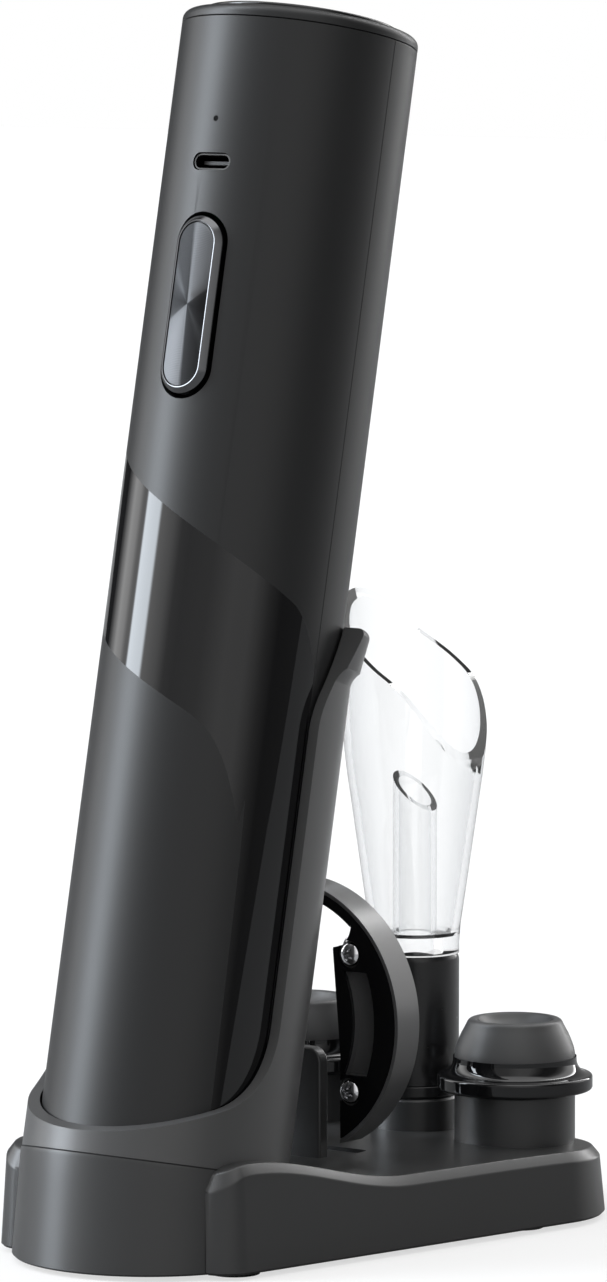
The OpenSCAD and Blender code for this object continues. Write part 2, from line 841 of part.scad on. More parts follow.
module pourer_spout() {
    t = 1.5;
    color([0.85, 0.92, 0.95, 0.4]) placed(0, pourer_y) difference() {
        rotate_extrude() polygon(concat([[0, stem_top_z]], spout_side, [for (i = [len(spout_side) - 1:-1:2])
            spout_side[i] - [t, 0]], [[stem_r - t, spout_floor_z], [0, spout_floor_z]]));
        translate([0, 25, 0]) rotate([90, 0, 0]) linear_extrude(50)
            polygon(concat(mouth_edge, [[30, 82], [30, 140], [-16, 140]]));
        disc(spout_hole_r, 40, 60);
    }
}

module pourer_air_tube() {
    color([0.85, 0.92, 0.95, 0.4]) placed(0, pourer_y) difference() {
        pipe(4.6, 3.4, spout_floor_z, 92);
        translate([0, 0, 85.8]) rotate([0, 40, 0]) translate([-20, -20, 0]) cube([40, 40, 20]);
    }
}

module pourer_stem() {
    color("#1c1d1f") placed(0, pourer_y) difference() {
        rotate_extrude() polygon([[0, peg_shoulder_z],
            [stem_r - 0.2, peg_shoulder_z], [stem_r, peg_shoulder_z + 0.4],
            [stem_r - 0.2, stem_top_z - 0.5], [stem_r - 0.6, stem_top_z], [0, stem_top_z]]);
        disc(peg_r + 0.3, 0, peg_z + 1);
        disc(spout_hole_r, peg_z, 60);
        disc(6.2, stem_top_z - 1.4, 60);
    }
}

module pourer_collar() {
    color("#c9ced2") placed(0, pourer_y) pipe(6.2, spout_hole_r, stem_top_z - 1.4, stem_top_z);
}

// ---- Foil cutter: x and z from its centre, y from its face ----

module cutter_frame_place() {
    translate([0, cutter_c.y + axis_y, cutter_c.z]) children();
}

// Upright prism between two depths behind the cutter's face
module upright(y0, y1) {
    translate([0, y1, 0]) rotate([90, 0, 0]) linear_extrude(y1 - y0) children();
}

// Half outline of the neck opening, from the bottom to the top of the bow
module neck_opening() {
    half = concat([[jaw_x[0], -cutter_r - 1], [jaw_x[0], jaw_knee], [jaw_x[1], jaw_top]],
        arc(notch, notch_r, -84, -4, 6), arc([0, 0], cutter_r - bow, 50.5, 90, 8));
    polygon(concat(half, [for (i = [len(half) - 2:-1:0]) [-half[i].x, half[i].y]]));
}

module grip_recess() {
    mirrored_x() intersection() {
        translate([grip_x, 0]) difference() {
            circle(r = grip_r[1]);
            circle(r = grip_r[0]);
        }
        translate([10, -grip_half]) square([20, 2 * grip_half]);
    }
}

module wheel_places() {
    for (sx = [-1, 1], sz = [-1, 1]) translate([sx * wheel_at.x, 0, sz * wheel_at.y])
        rotate([-90, 0, 0]) children();
}

module cutter_frame() {
    color("#77797c") cutter_frame_place() difference() {
        upright(0, cutter_t) difference() {
            circle(r = cutter_r);
            neck_opening();
        }
        upright(-1, face_t) circle(r = cutter_r - face_inset);
        upright(-1, face_t + 1.6) grip_recess();
        wheel_places() {
            disc(wheel_r + 0.4, wheel_y - 0.3, wheel_y + wheel_t + 0.3);
            disc(screw_r, -1, cutter_t - 0.8);
        }
    }
}

module cutter_face() {
    color("#0e0f10") cutter_frame_place() difference() {
        upright(0, face_t) difference() {
            circle(r = cutter_r - face_inset);
            neck_opening();
            grip_recess();
        }
        wheel_places() disc(2.8, -1, face_t + 1);
    }
}

module cutter_screws() {
    color("silver") cutter_frame_place() wheel_places() difference() {
        union() {
            rotate_extrude() polygon(concat([[0, face_t], [2.5, face_t]], arc([0, 3.3], 4.15, -53, -90, 6)));
            disc(screw_r - 0.06, face_t, cutter_t - 1.2);
        }
        for (a = [30, 120]) rotate(a) translate([-1.3, -0.3, -2]) cube([2.6, 0.6, 2.2]);
    }
}

module cutting_wheel(sx, sz) {
    place = [sx * wheel_at.x, 0, sz * wheel_at.y];
    color("#c3c7cb") cutter_frame_place() translate(place) rotate([-90, 0, 0]) difference() {
        rotate_extrude() polygon([[0, wheel_y], [wheel_r - 1.2, wheel_y], [wheel_r, wheel_y + wheel_t / 2],
            [wheel_r - 1.2, wheel_y + wheel_t], [0, wheel_y + wheel_t]]);
        disc(screw_r, 0, 10);
    }
}

module cutting_wheel_a() {
    cutting_wheel(1, 1);
}

module cutting_wheel_b() {
    cutting_wheel(1, -1);
}

module cutting_wheel_c() {
    cutting_wheel(-1, 1);
}

module cutting_wheel_d() {
    cutting_wheel(-1, -1);
}

base_shell();
holder_sleeve();
base_bottom_plate();
base_feet();
base_screws();
front_shell();
rear_shell();
gloss_inlay();
top_cap();
top_disc();
bottle_guide();
cork_tube();
inner_chassis();
battery_cell();
battery_tabs();
main_board();
board_screws();
usb_receptacle();
usb_tongue();
led_light_pipe();
tact_switches();
motor_can();
motor_end_cap();
motor_magnets();
gearbox_housing();
gearbox_cover();
output_bush();
button_cap();
button_face();
worm();
carrier();
planet_pins();
planet_gear_a();
planet_gear_b();
planet_gear_c();
rotor_core();
sun_pinion();
stopper_right_collar();
stopper_right_plug();
stopper_right_cap();
stopper_right_spring();
stopper_right_valve();
stopper_left_collar();
stopper_left_plug();
stopper_left_cap();
stopper_left_spring();
stopper_left_valve();
pourer_spout();
pourer_air_tube();
pourer_stem();
pourer_collar();
cutter_frame();
cutter_face();
cutter_screws();
cutting_wheel_a();
cutting_wheel_b();
cutting_wheel_c();
cutting_wheel_d();
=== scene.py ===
"""Electric wine opener leaning on its stand, with a pourer, two stoppers and a foil cutter.

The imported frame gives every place. The pieces that show are built here in millimetres, in one of
three frames: the opener's leaning one, the stand's upright one, or an upright one on an axis of its
own. They are then put in the row frame, in metres.
"""

from __future__ import annotations

import json
import logging
import math
from dataclasses import dataclass
from enum import Enum
from typing import Any, Callable, Sequence

import bmesh
import bpy
from mathutils import Matrix, Vector

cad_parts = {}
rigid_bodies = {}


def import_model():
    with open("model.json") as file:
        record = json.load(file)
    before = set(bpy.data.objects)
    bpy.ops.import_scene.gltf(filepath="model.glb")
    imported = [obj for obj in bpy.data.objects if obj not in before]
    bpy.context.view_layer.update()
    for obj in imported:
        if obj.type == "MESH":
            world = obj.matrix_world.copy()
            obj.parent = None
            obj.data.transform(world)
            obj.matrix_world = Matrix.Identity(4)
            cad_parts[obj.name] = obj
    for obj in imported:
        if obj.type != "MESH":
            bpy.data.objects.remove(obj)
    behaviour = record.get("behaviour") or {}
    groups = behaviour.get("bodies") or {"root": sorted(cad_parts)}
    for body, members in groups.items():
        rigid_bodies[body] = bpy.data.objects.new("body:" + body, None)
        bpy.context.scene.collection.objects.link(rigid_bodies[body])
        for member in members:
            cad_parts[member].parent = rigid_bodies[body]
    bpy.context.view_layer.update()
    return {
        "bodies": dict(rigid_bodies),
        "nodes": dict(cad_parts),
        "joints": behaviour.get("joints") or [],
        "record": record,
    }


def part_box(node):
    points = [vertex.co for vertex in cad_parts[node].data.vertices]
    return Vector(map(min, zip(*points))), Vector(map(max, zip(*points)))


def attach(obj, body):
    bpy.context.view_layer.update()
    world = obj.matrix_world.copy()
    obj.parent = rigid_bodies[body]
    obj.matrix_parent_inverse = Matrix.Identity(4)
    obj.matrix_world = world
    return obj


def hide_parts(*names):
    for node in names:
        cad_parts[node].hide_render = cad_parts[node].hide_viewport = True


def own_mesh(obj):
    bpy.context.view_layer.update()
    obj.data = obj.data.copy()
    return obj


LOG = logging.getLogger("wine_opener")
MM = 0.001
TURN = 192  # steps round a large turned piece
SHARP = 32  # degrees past which an edge stays sharp in the shading
LARGE_FACES_LEAD = 80  # how far large faces lead in the shading of a rounded edge
Point = tuple[float, float]
Colour = tuple[float, float, float]


# ---- Frames ----


def joint_named(frame: dict[str, Any], name: str) -> dict[str, Any]:
    """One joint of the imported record.

    Args:
        name: The joint's name.

    Returns:
        The joint's own record.
    """
    return next(j for j in frame["joints"] if j["name"] == name)


def lean_frame(frame: dict[str, Any]) -> Matrix:
    """The opener's own frame: +Z runs up its axis from the table, and -Y faces the front.


    Returns:
        The matrix from millimetres in that frame to the row frame.
    """
    spin = joint_named(frame, "corkscrew_spin")
    axis, place = Vector(spin["axis"]).normalized(), Vector(spin["pos_m"])
    foot = place - axis * (place.z / axis.z)
    turn = Matrix.Rotation(-math.atan2(axis.y, axis.z), 4, "X")
    return Matrix.Translation(foot) @ turn @ Matrix.Scale(MM, 4)


def upright_frame(x: float = 0.0, y: float = 0.0, z: float = 0.0) -> Matrix:
    """A frame in millimetres with its axes along the row's and its origin at a place in metres."""
    return Matrix.Translation((x, y, z)) @ Matrix.Scale(MM, 4)


def axis_of(node: str) -> Vector:
    """The middle of a node's box in metres, with z = 0."""
    low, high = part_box(node)
    return Vector(((low.x + high.x) / 2, (low.y + high.y) / 2, 0))


# ---- Outlines ----


def arc(centre: Point, radius: float, start: float, end: float, steps: int) -> list[Point]:
    """Points of a circular arc.

    Args:
        centre: The circle's middle.
        radius: Its radius.
        start: The first angle in degrees.
        end: The last angle in degrees.
        steps: How many stretches the arc has.

    Returns:
        The points, both ends included.
    """
    angles = (math.radians(start + (end - start) * i / steps) for i in range(steps + 1))
    return [(centre[0] + radius * math.cos(a), centre[1] + radius * math.sin(a)) for a in angles]


def obround(width: float, length: float, steps: int = 24) -> list[Point]:
    """Outline of a slot that stands along the second axis."""
    half = (length - width) / 2
    return arc((0, half), width / 2, 0, 180, steps) + arc((0, -half), width / 2, 180, 360, steps)


def rounded(points: Sequence[Point], radii: Sequence[float], steps: int = 5) -> list[Point]:
    """Rounds the corners of a closed outline.

    Args:
        points: The corners in order.
        radii: One radius for each corner, 0 for a sharp one.
        steps: Stretches in each rounded corner.

    Returns:
        The outline with its corners rounded.
    """
    out: list[Point] = []
    for i, (corner, radius) in enumerate(zip(points, radii)):
        here = Vector(corner)
        before = (Vector(points[i - 1]) - here).normalized()
        after = (Vector(points[(i + 1) % len(points)]) - here).normalized()
        if radius == 0 or before.angle(after) > math.pi - 0.01:
            out.append(corner)
            continue
        half = before.angle(after) / 2
        middle = here + (before + after).normalized() * (radius / math.sin(half))
        start = here + before * (radius / math.tan(half)) - middle
        end = here + after * (radius / math.tan(half)) - middle
        sweep = start.angle_signed(end)
        for k in range(steps + 1):
            turned = Matrix.Rotation(-sweep * k / steps, 2) @ start
            out.append(tuple(middle + turned))
    return out


# ---- Meshes ----


def piece_from(name: str, mesh: bpy.types.Mesh) -> bpy.types.Object:
    """Links a new object that holds this mesh."""
    obj = bpy.data.objects.new(name, mesh)
    bpy.context.scene.collection.objects.link(obj)
    return obj


def from_bmesh(name: str, bm: bmesh.types.BMesh, place: Matrix) -> bpy.types.Object:
    """Makes a piece of a bmesh, with its faces outwards and its place in its mesh.

    Args:
        name: The piece's name.
        bm: The mesh in millimetres. It is freed.
        place: The matrix from millimetres to the row frame.

    Returns:
        The new object, at the origin.
    """
    bmesh.ops.remove_doubles(bm, verts=bm.verts, dist=1e-5)
    bmesh.ops.recalc_face_normals(bm, faces=bm.faces)
    bm.transform(place)
    mesh = bpy.data.meshes.new(name)
    bm.to_mesh(mesh)
    bm.free()
    return piece_from(name, mesh)


def skin(bm: bmesh.types.BMesh, rings: Sequence[Sequence[Vector]]) -> None:
    """Joins closed rings that have the same number of points, and caps the two ends."""
    rows = [[bm.verts.new(p) for p in ring] for ring in rings]
    for low, high in zip(rows, rows[1:]):
        for i in range(len(low)):
            k = (i + 1) % len(low)
            bm.faces.new((low[i], low[k], high[k], high[i]))
    bm.faces.new(rows[0][::-1])
    bm.faces.new(rows[-1])


def turned(name: str, profile: Sequence[Point], place: Matrix, segments: int = TURN) -> bpy.types.Object:
    """Turns a closed profile round the Z axis.

    Args:
        name: The piece's name.
        profile: Points (radius, height) in order round the section. Points on the axis close a pole.
        place: The matrix from millimetres to the row frame.
        segments: Steps round the axis.

    Returns:
        The new object.
    """
    bm = bmesh.new()
    rows: list[list[bmesh.types.BMVert]] = []
    for r, z in profile:
        if r < 1e-6:
            rows.append([bm.verts.new((0, 0, z))] * segments)
            continue
        angles = (math.tau * (i + 0.5) / segments for i in range(segments))
        rows.append([bm.verts.new((r * math.cos(a), r * math.sin(a), z)) for a in angles])
    for k, row in enumerate(rows):
        after = rows[(k + 1) % len(rows)]
        for i in range(segments):
            j = (i + 1) % segments
            corners = list(dict.fromkeys((row[i], row[j], after[j], after[i])))
            if len(corners) > 2:
                bm.faces.new(corners)
    return from_bmesh(name, bm, place)


def prism(name: str, outline: Sequence[Point], near: float, far: float, place: Matrix) -> bpy.types.Object:
    """A solid whose outline is given in x and z, running along y from near to far."""
    bm = bmesh.new()
    skin(bm, [[Vector((x, y, z)) for x, z in outline] for y in (near, far)])
    return from_bmesh(name, bm, place)


def column(name: str, outline: Sequence[Point], low: float, high: float, place: Matrix) -> bpy.types.Object:
    """A solid whose outline is given in x and y, running up from low to high."""
    bm = bmesh.new()
    skin(bm, [[Vector((x, y, z)) for x, y in outline] for z in (low, high)])
    return from_bmesh(name, bm, place)


def bake(obj: bpy.types.Object) -> bpy.types.Object:
    """Turns the object with its modifiers into a plain mesh."""
    graph = bpy.context.evaluated_depsgraph_get()
    mesh = bpy.data.meshes.new_from_object(obj.evaluated_get(graph), depsgraph=graph)
    old = obj.data
    obj.modifiers.clear()
    obj.data = mesh
    mesh.name = obj.name
    bpy.data.meshes.remove(old)
    return obj


class Cut(Enum):
    """How one solid changes another."""

    AWAY = "DIFFERENCE"
    COMMON = "INTERSECT"
    JOIN = "UNION"


def carve(obj: bpy.types.Object, how: Cut, *tools: bpy.types.Object) -> bpy.types.Object:
    """Cuts or joins solids, and removes the tools.

    Args:
        obj: The solid that stays.
        how: What the tools do to it.
        tools: The other solids.

    Returns:
        The same object.
    """
    for tool in tools:
        modifier = obj.modifiers.new("cut", "BOOLEAN")
        modifier.operation = how.value
        modifier.solver = "EXACT"
        modifier.object = tool
        bake(obj)
        mesh = tool.data
        bpy.data.objects.remove(tool)
        bpy.data.meshes.remove(mesh)
    return obj


def ease(obj: bpy.types.Object, width: float, steps: int = 3, angle: float = 40.0) -> bpy.types.Object:
    """Rounds the sharp edges, and shades the rest smooth.

    Args:
        obj: The piece.
        width: Width of the rounding in millimetres, 0 for none.
        steps: Faces across the rounding.
        angle: Edges sharper than this many degrees are rounded.

    Returns:
        The same object.
    """
    if width:
        bevel = obj.modifiers.new("edges", "BEVEL")
        bevel.width = width * MM
        bevel.segments = steps
        bevel.limit_method = "ANGLE"
        bevel.angle_limit = math.radians(angle)
        bevel.harden_normals = False
        bevel.use_clamp_overlap = True
        bake(obj)
    obj.data.shade_smooth()
    obj.data.set_sharp_from_angle(angle=math.radians(SHARP))
    even = obj.modifiers.new("normals", "WEIGHTED_NORMAL")
    even.keep_sharp, even.weight = True, LARGE_FACES_LEAD
    bake(obj)
    return obj


def true_round(obj: bpy.types.Object, place: Matrix, radius: float) -> bpy.types.Object:
    """Gives the faces on a round wall the wall's own normals, so that cuts leave no streaks in its shine.

    Args:
        obj: The piece.
        place: The matrix from the wall's frame, with its axis along Z, to the row frame.
        radius: The wall's radius in millimetres.

    Returns:
        The same object.
    """
    mesh, back = obj.data, place.inverted()
    turn = place.to_3x3().normalized()
    local = [back @ v.co for v in mesh.vertices]
    on_wall = [abs(math.hypot(p.x, p.y) - radius) < 0.03 for p in local]
    normals = [corner.vector.copy() for corner in mesh.corner_normals]
    for face in mesh.polygons:
        middle = sum((local[v] for v in face.vertices), Vector()) / len(face.vertices)
        out = turn @ Vector((middle.x, middle.y, 0)).normalized()
        if all(on_wall[v] for v in face.vertices) and face.normal.dot(out) > 0.97:
            for loop in face.loop_indices:
                p = local[mesh.loops[loop].vertex_index]
                normals[loop] = turn @ Vector((p.x, p.y, 0)).normalized()
    mesh.normals_split_custom_set(normals)
    return obj


def dressed(
    obj: bpy.types.Object,
    finish: bpy.types.Material,
    body: str,
    slot: str,
    *nodes: str,
) -> bpy.types.Object:
    """Gives a finished piece its material, its body and the nodes that it stands for.

    Args:
        obj: The piece.
        finish: Its material.
        body: The body that it rides on.
        slot: The record's material slot; not used.
        nodes: The nodes that it replaces.

    Returns:
        The same object.
    """
    obj.data.materials.clear()
    obj.data.materials.append(finish)
    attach(obj, body)
    if nodes:
        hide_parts(*nodes)
    LOG.info("%s: %d faces on %s", obj.name, len(obj.data.polygons), body)
    return obj


# ---- Node helpers ----


class Graph:
    """Builds one node tree."""

    def __init__(self, tree: bpy.types.NodeTree) -> None:
        """Takes the tree to build in."""
        self.tree = tree

    def add(self, kind: str, **settings: Any) -> bpy.types.Node:
        """Adds a node and sets its properties."""
        node = self.tree.nodes.new(kind)
        for key, value in settings.items():
            setattr(node, key, value)
        return node

    def feed(self, node: bpy.types.Node, **values: Any) -> bpy.types.Node:
        """Sets or links a node's inputs by name, with _ for each space."""
        for key, value in values.items():
            self.put(node.inputs[key.replace("_", " ")], value)
        return node

    def put(self, socket: bpy.types.NodeSocket, value: Any) -> None:
        """Links an output to the socket, or sets its value."""
        if isinstance(value, bpy.types.NodeSocket):
            self.tree.links.new(value, socket)
        else:
            socket.default_value = value

    def maths(self, operation: str, *values: Any) -> bpy.types.NodeSocket:
        """A Math node's result.

        Args:
            operation: The operation's name.
            values: Numbers or outputs, one for each input.

        Returns:
            The output.
        """
        node = self.add("ShaderNodeMath", operation=operation)
        for socket, value in zip(node.inputs, values):
            self.put(socket, value)
        return node.outputs[0]

    def vector(self, x: Any = 0.0, y: Any = 0.0, z: Any = 0.0) -> bpy.types.NodeSocket:
        """A vector put together from three numbers or outputs."""
        return self.feed(self.add("ShaderNodeCombineXYZ"), X=x, Y=y, Z=z).outputs[0]


def group_tree(name: str, kind: str, inputs: dict[str, tuple[str, Any]], outputs: dict[str, str]) -> Graph:
    """A new node group with named sockets.

    Args:
        name: The group's name.
        kind: The tree's type.
        inputs: For each input, its socket type and its default value.
        outputs: For each output, its socket type.

    Returns:
        The graph, with its input and output nodes in `start` and `end`.
    """
    tree = bpy.data.node_groups.new(name, kind)
    for label, (socket_type, value) in inputs.items():
        socket = tree.interface.new_socket(label, in_out="INPUT", socket_type=socket_type)
        if value is not None:
            socket.default_value = value
    for label, socket_type in outputs.items():
        tree.interface.new_socket(label, in_out="OUTPUT", socket_type=socket_type)
    graph = Graph(tree)
    graph.start = graph.add("NodeGroupInput").outputs
    graph.end = graph.add("NodeGroupOutput").inputs
    return graph


# ---- Effects that more than one finish uses ----

NUMBER = "NodeSocketFloat"
SHAPE = "NodeSocketGeometry"


def grain_group() -> bpy.types.NodeTree:
    """Fine moulded or sprayed grain: its height, and a value that shades the colour."""
    g = group_tree(
        "fine_grain",
        "ShaderNodeTree",
        {"Size": (NUMBER, 0.0003), "Unevenness": (NUMBER, 0.3)},
        {"Height": NUMBER, "Shade": NUMBER},
    )
    place = g.add("ShaderNodeTexCoord").outputs["Object"]
    fine = g.feed(g.add("ShaderNodeTexNoise"), Vector=place, Scale=g.maths("DIVIDE", 1.0, g.start["Size"]),
                  Detail=2.0, Roughness=0.6)
    broad = g.feed(g.add("ShaderNodeTexNoise"), Vector=place, Scale=45.0, Detail=3.0, Roughness=0.5)
    offset = g.maths("MULTIPLY", g.maths("SUBTRACT", broad.outputs[0], 0.5), g.start["Unevenness"])
    speck = g.maths("MULTIPLY", g.maths("SUBTRACT", fine.outputs[0], 0.5), 0.5)
    speck = g.maths("MULTIPLY", speck, g.start["Unevenness"])
    g.put(g.end["Height"], fine.outputs[0])
    g.put(g.end["Shade"], g.maths("ADD", 1.0, g.maths("ADD", offset, speck)))
    return g.tree


def handling_group() -> bpy.types.NodeTree:
    """Faint smudges and dust from use, as a roughness that varies over the surface."""
    g = group_tree(
        "handling_marks",
        "ShaderNodeTree",
        {"Roughness": (NUMBER, 0.3), "Amount": (NUMBER, 0.1)},
        {"Roughness": NUMBER},
    )
    place = g.add("ShaderNodeTexCoord").outputs["Object"]
    smear = g.feed(g.add("ShaderNodeMapping"), Vector=place, Scale=(60.0, 60.0, 22.0))
    cloud = g.feed(g.add("ShaderNodeTexNoise"), Vector=smear.outputs[0], Scale=1.0, Detail=5.0,
                   Roughness=0.62)
    dust = g.feed(g.add("ShaderNodeTexVoronoi"), Vector=place, Scale=420.0)
    dot = g.feed(g.add("ShaderNodeMapRange"), Value=dust.outputs["Distance"], From_Min=0.04, From_Max=0.1,
                 To_Min=1.2, To_Max=0.0)
    smudge = g.maths("SUBTRACT", cloud.outputs[0], 0.5)
    marks = g.maths("ADD", smudge, g.maths("MULTIPLY", dot.outputs[0], 0.5))
    change = g.maths("MULTIPLY", marks, g.start["Amount"])
    g.put(g.end["Roughness"], g.maths("ADD", g.start["Roughness"], change))
    return g.tree


def shared_group(name: str, build: Callable[[], bpy.types.NodeTree]) -> bpy.types.NodeTree:
    """The group of that name, built the first time that it is asked for."""
    return bpy.data.node_groups.get(name) or build()


# ---- Finishes ----


def new_material(name: str) -> tuple[bpy.types.Material, Graph, bpy.types.Node]:
    """A new material.

    Args:
        name: The material's name.

    Returns:
        The material, its graph and its Principled shader.
    """
    material = bpy.data.materials.new(name)
    material.use_nodes = True
    graph = Graph(material.node_tree)
    return material, graph, next(n for n in material.node_tree.nodes if n.type == "BSDF_PRINCIPLED")


def add_marks(g: Graph, shader: bpy.types.Node, roughness: float, amount: float) -> None:
    """Links the roughness, with its handling marks, to the shader."""
    marks = g.add("ShaderNodeGroup", node_tree=shared_group("handling_marks", handling_group))
    g.feed(marks, Roughness=roughness, Amount=amount)
    g.put(shader.inputs["Roughness"], marks.outputs["Roughness"])


def add_grain(
    g: Graph, shader: bpy.types.Node, colour: Colour, size: float, depth: float, uneven: float
) -> None:
    """Links the grain to the shader's colour and normal.

    Args:
        g: The material's graph.
        shader: Its shader.
        colour: The surface's own colour.
        size: Size of a grain in millimetres.
        depth: Depth of the grain in millimetres.
        uneven: How much the colour varies.
    """
    grain = g.add("ShaderNodeGroup", node_tree=shared_group("fine_grain", grain_group))
    g.feed(grain, Size=size * MM, Unevenness=uneven)
    tint = g.add("ShaderNodeVectorMath", operation="SCALE")
    g.put(tint.inputs[0], colour)
    g.put(tint.inputs["Scale"], grain.outputs["Shade"])
    g.put(shader.inputs["Base Color"], tint.outputs[0])
    if depth:
        bump = g.feed(g.add("ShaderNodeBump"), Strength=0.5, Distance=depth * MM,
                      Height=grain.outputs["Height"])
        g.put(shader.inputs["Normal"], bump.outputs[0])


@dataclass(frozen=True)
class Moulded:
    """A plastic, rubber or painted surface."""

    name: str
    colour: Colour
    roughness: float
    marks: float = 0.08
    grain: float = 0.35
    depth: float = 0.001
    uneven: float = 0.12
    coat: float = 0.0
    sheen: float = 0.0
    specular: float = 0.5

    def build(self) -> bpy.types.Material:
        """Makes the material."""
        material, g, shader = new_material(self.name)
        g.feed(shader, Coat_Weight=self.coat, Coat_Roughness=0.03, Sheen_Weight=self.sheen,
               Sheen_Roughness=0.4, Specular_IOR_Level=self.specular)
        add_marks(g, shader, self.roughness, self.marks)
        add_grain(g, shader, self.colour, self.grain, self.depth, self.uneven)
        return material


@dataclass(frozen=True)
class Metal:
    """A plated, polished or brushed metal."""

    name: str
    colour: Colour
    roughness: float
    marks: float = 0.06
    grain: float = 0.6
    depth: float = 0.003

    def build(self) -> bpy.types.Material:
        """Makes the material."""
        material, g, shader = new_material(self.name)
        g.feed(shader, Metallic=1.0)
        add_marks(g, shader, self.roughness, self.marks)
        add_grain(g, shader, self.colour, self.grain, self.depth, 0.1)
        return material


@dataclass(frozen=True)
class Clear:
    """A clear, polished plastic, with painted shade that greys its colour where it is seen edge on."""

    name: str
    colour: Colour
    edge: Colour = (0.5, 0.52, 0.54)
    roughness: float = 0.015
    ior: float = 1.49

    def build(self) -> bpy.types.Material:
        """Makes the material."""
        material, g, shader = new_material(self.name)
        g.feed(shader, Transmission_Weight=1.0, IOR=self.ior, Metallic=0.0)
        add_marks(g, shader, self.roughness, 0.008)
        # Painted shade: the colour turns to the edge grey where the surface is seen edge on.
        painted_edge_shade = g.feed(g.add("ShaderNodeLayerWeight"), Blend=0.32)
        cloud = g.add("ShaderNodeGroup", node_tree=shared_group("fine_grain", grain_group))
        g.feed(cloud, Size=14 * MM, Unevenness=0.03)
        tint = g.add("ShaderNodeMix", data_type="RGBA")
        g.put(tint.inputs["Factor"], g.maths("MULTIPLY", painted_edge_shade.outputs["Facing"], cloud.outputs["Shade"]))
        g.put(tint.inputs[6], (*self.colour, 1.0))
        g.put(tint.inputs[7], (*self.edge, 1.0))
        g.put(shader.inputs["Base Color"], tint.outputs[2])
        return material


@dataclass(frozen=True)
class Spun:
    """A metal face turned on a lathe: fine rings round its middle, with painted highlight wedges by angle in
    its colour.
    """

    name: str
    colour: Colour
    centre: Vector
    tilt: float
    ring: float = 0.34
    roughness: float = 0.34
    # Painted highlight: how bright the face's colour is at each angle round its middle.
    painted_highlight_fan: tuple[tuple[float, float], ...] = (
        (0.0, 0.9), (0.12, 1.0), (0.27, 0.72), (0.31, 0.2), (0.42, 0.1), (0.6, 0.06), (0.76, 0.1),
        (0.83, 0.24), (0.88, 0.12), (0.98, 0.16), (1.0, 0.9),
    )

    def build(self) -> bpy.types.Material:
        """Makes the material."""
        material, g, shader = new_material(self.name)
        place = g.add("ShaderNodeTexCoord").outputs["Object"]
        local = g.feed(g.add("ShaderNodeMapping", vector_type="TEXTURE"), Vector=place, Location=self.centre,
                       Rotation=(-self.tilt, 0.0, 0.0))
        parts = g.feed(g.add("ShaderNodeSeparateXYZ"), Vector=local.outputs[0])
        radius = g.maths("SQRT", g.maths("ADD", g.maths("POWER", parts.outputs["X"], 2.0),
                                         g.maths("POWER", parts.outputs["Z"], 2.0)))
        angle = g.maths("ARCTAN2", parts.outputs["X"], parts.outputs["Z"])
        wave = g.maths("SINE", g.maths("MULTIPLY", radius, math.tau / (self.ring * MM)))
        turn = g.maths("FRACT", g.maths("ADD", g.maths("DIVIDE", angle, math.pi), 2.0))
        # Painted highlight: bright and dark wedges by angle, mixed into the base colour.
        painted_highlight_fan = g.add("ShaderNodeValToRGB")
        stops = painted_highlight_fan.color_ramp.elements
        for at, tone in self.painted_highlight_fan:
            stop = stops[0] if at == 0 else stops[1] if at == 1 else stops.new(at)
            stop.color = (tone, tone, tone, 1.0)
        g.put(painted_highlight_fan.inputs[0], turn)
        level = g.maths("MULTIPLY", painted_highlight_fan.outputs[0], g.maths("ADD", 1.0, g.maths("MULTIPLY", wave, 0.12)))
        tint = g.add("ShaderNodeMix", data_type="RGBA")
        g.put(tint.inputs["Factor"], level)
        g.put(tint.inputs[6], (*(c * 0.08 for c in self.colour), 1.0))
        g.put(tint.inputs[7], (*self.colour, 1.0))
        g.put(shader.inputs["Base Color"], tint.outputs[2])
        g.feed(shader, Metallic=1.0, Anisotropic=0.7)
        add_marks(g, shader, self.roughness, 0.05)
        bump = g.feed(g.add("ShaderNodeBump"), Strength=0.35, Distance=0.01 * MM, Height=wave)
        g.put(shader.inputs["Normal"], bump.outputs[0])
        return material


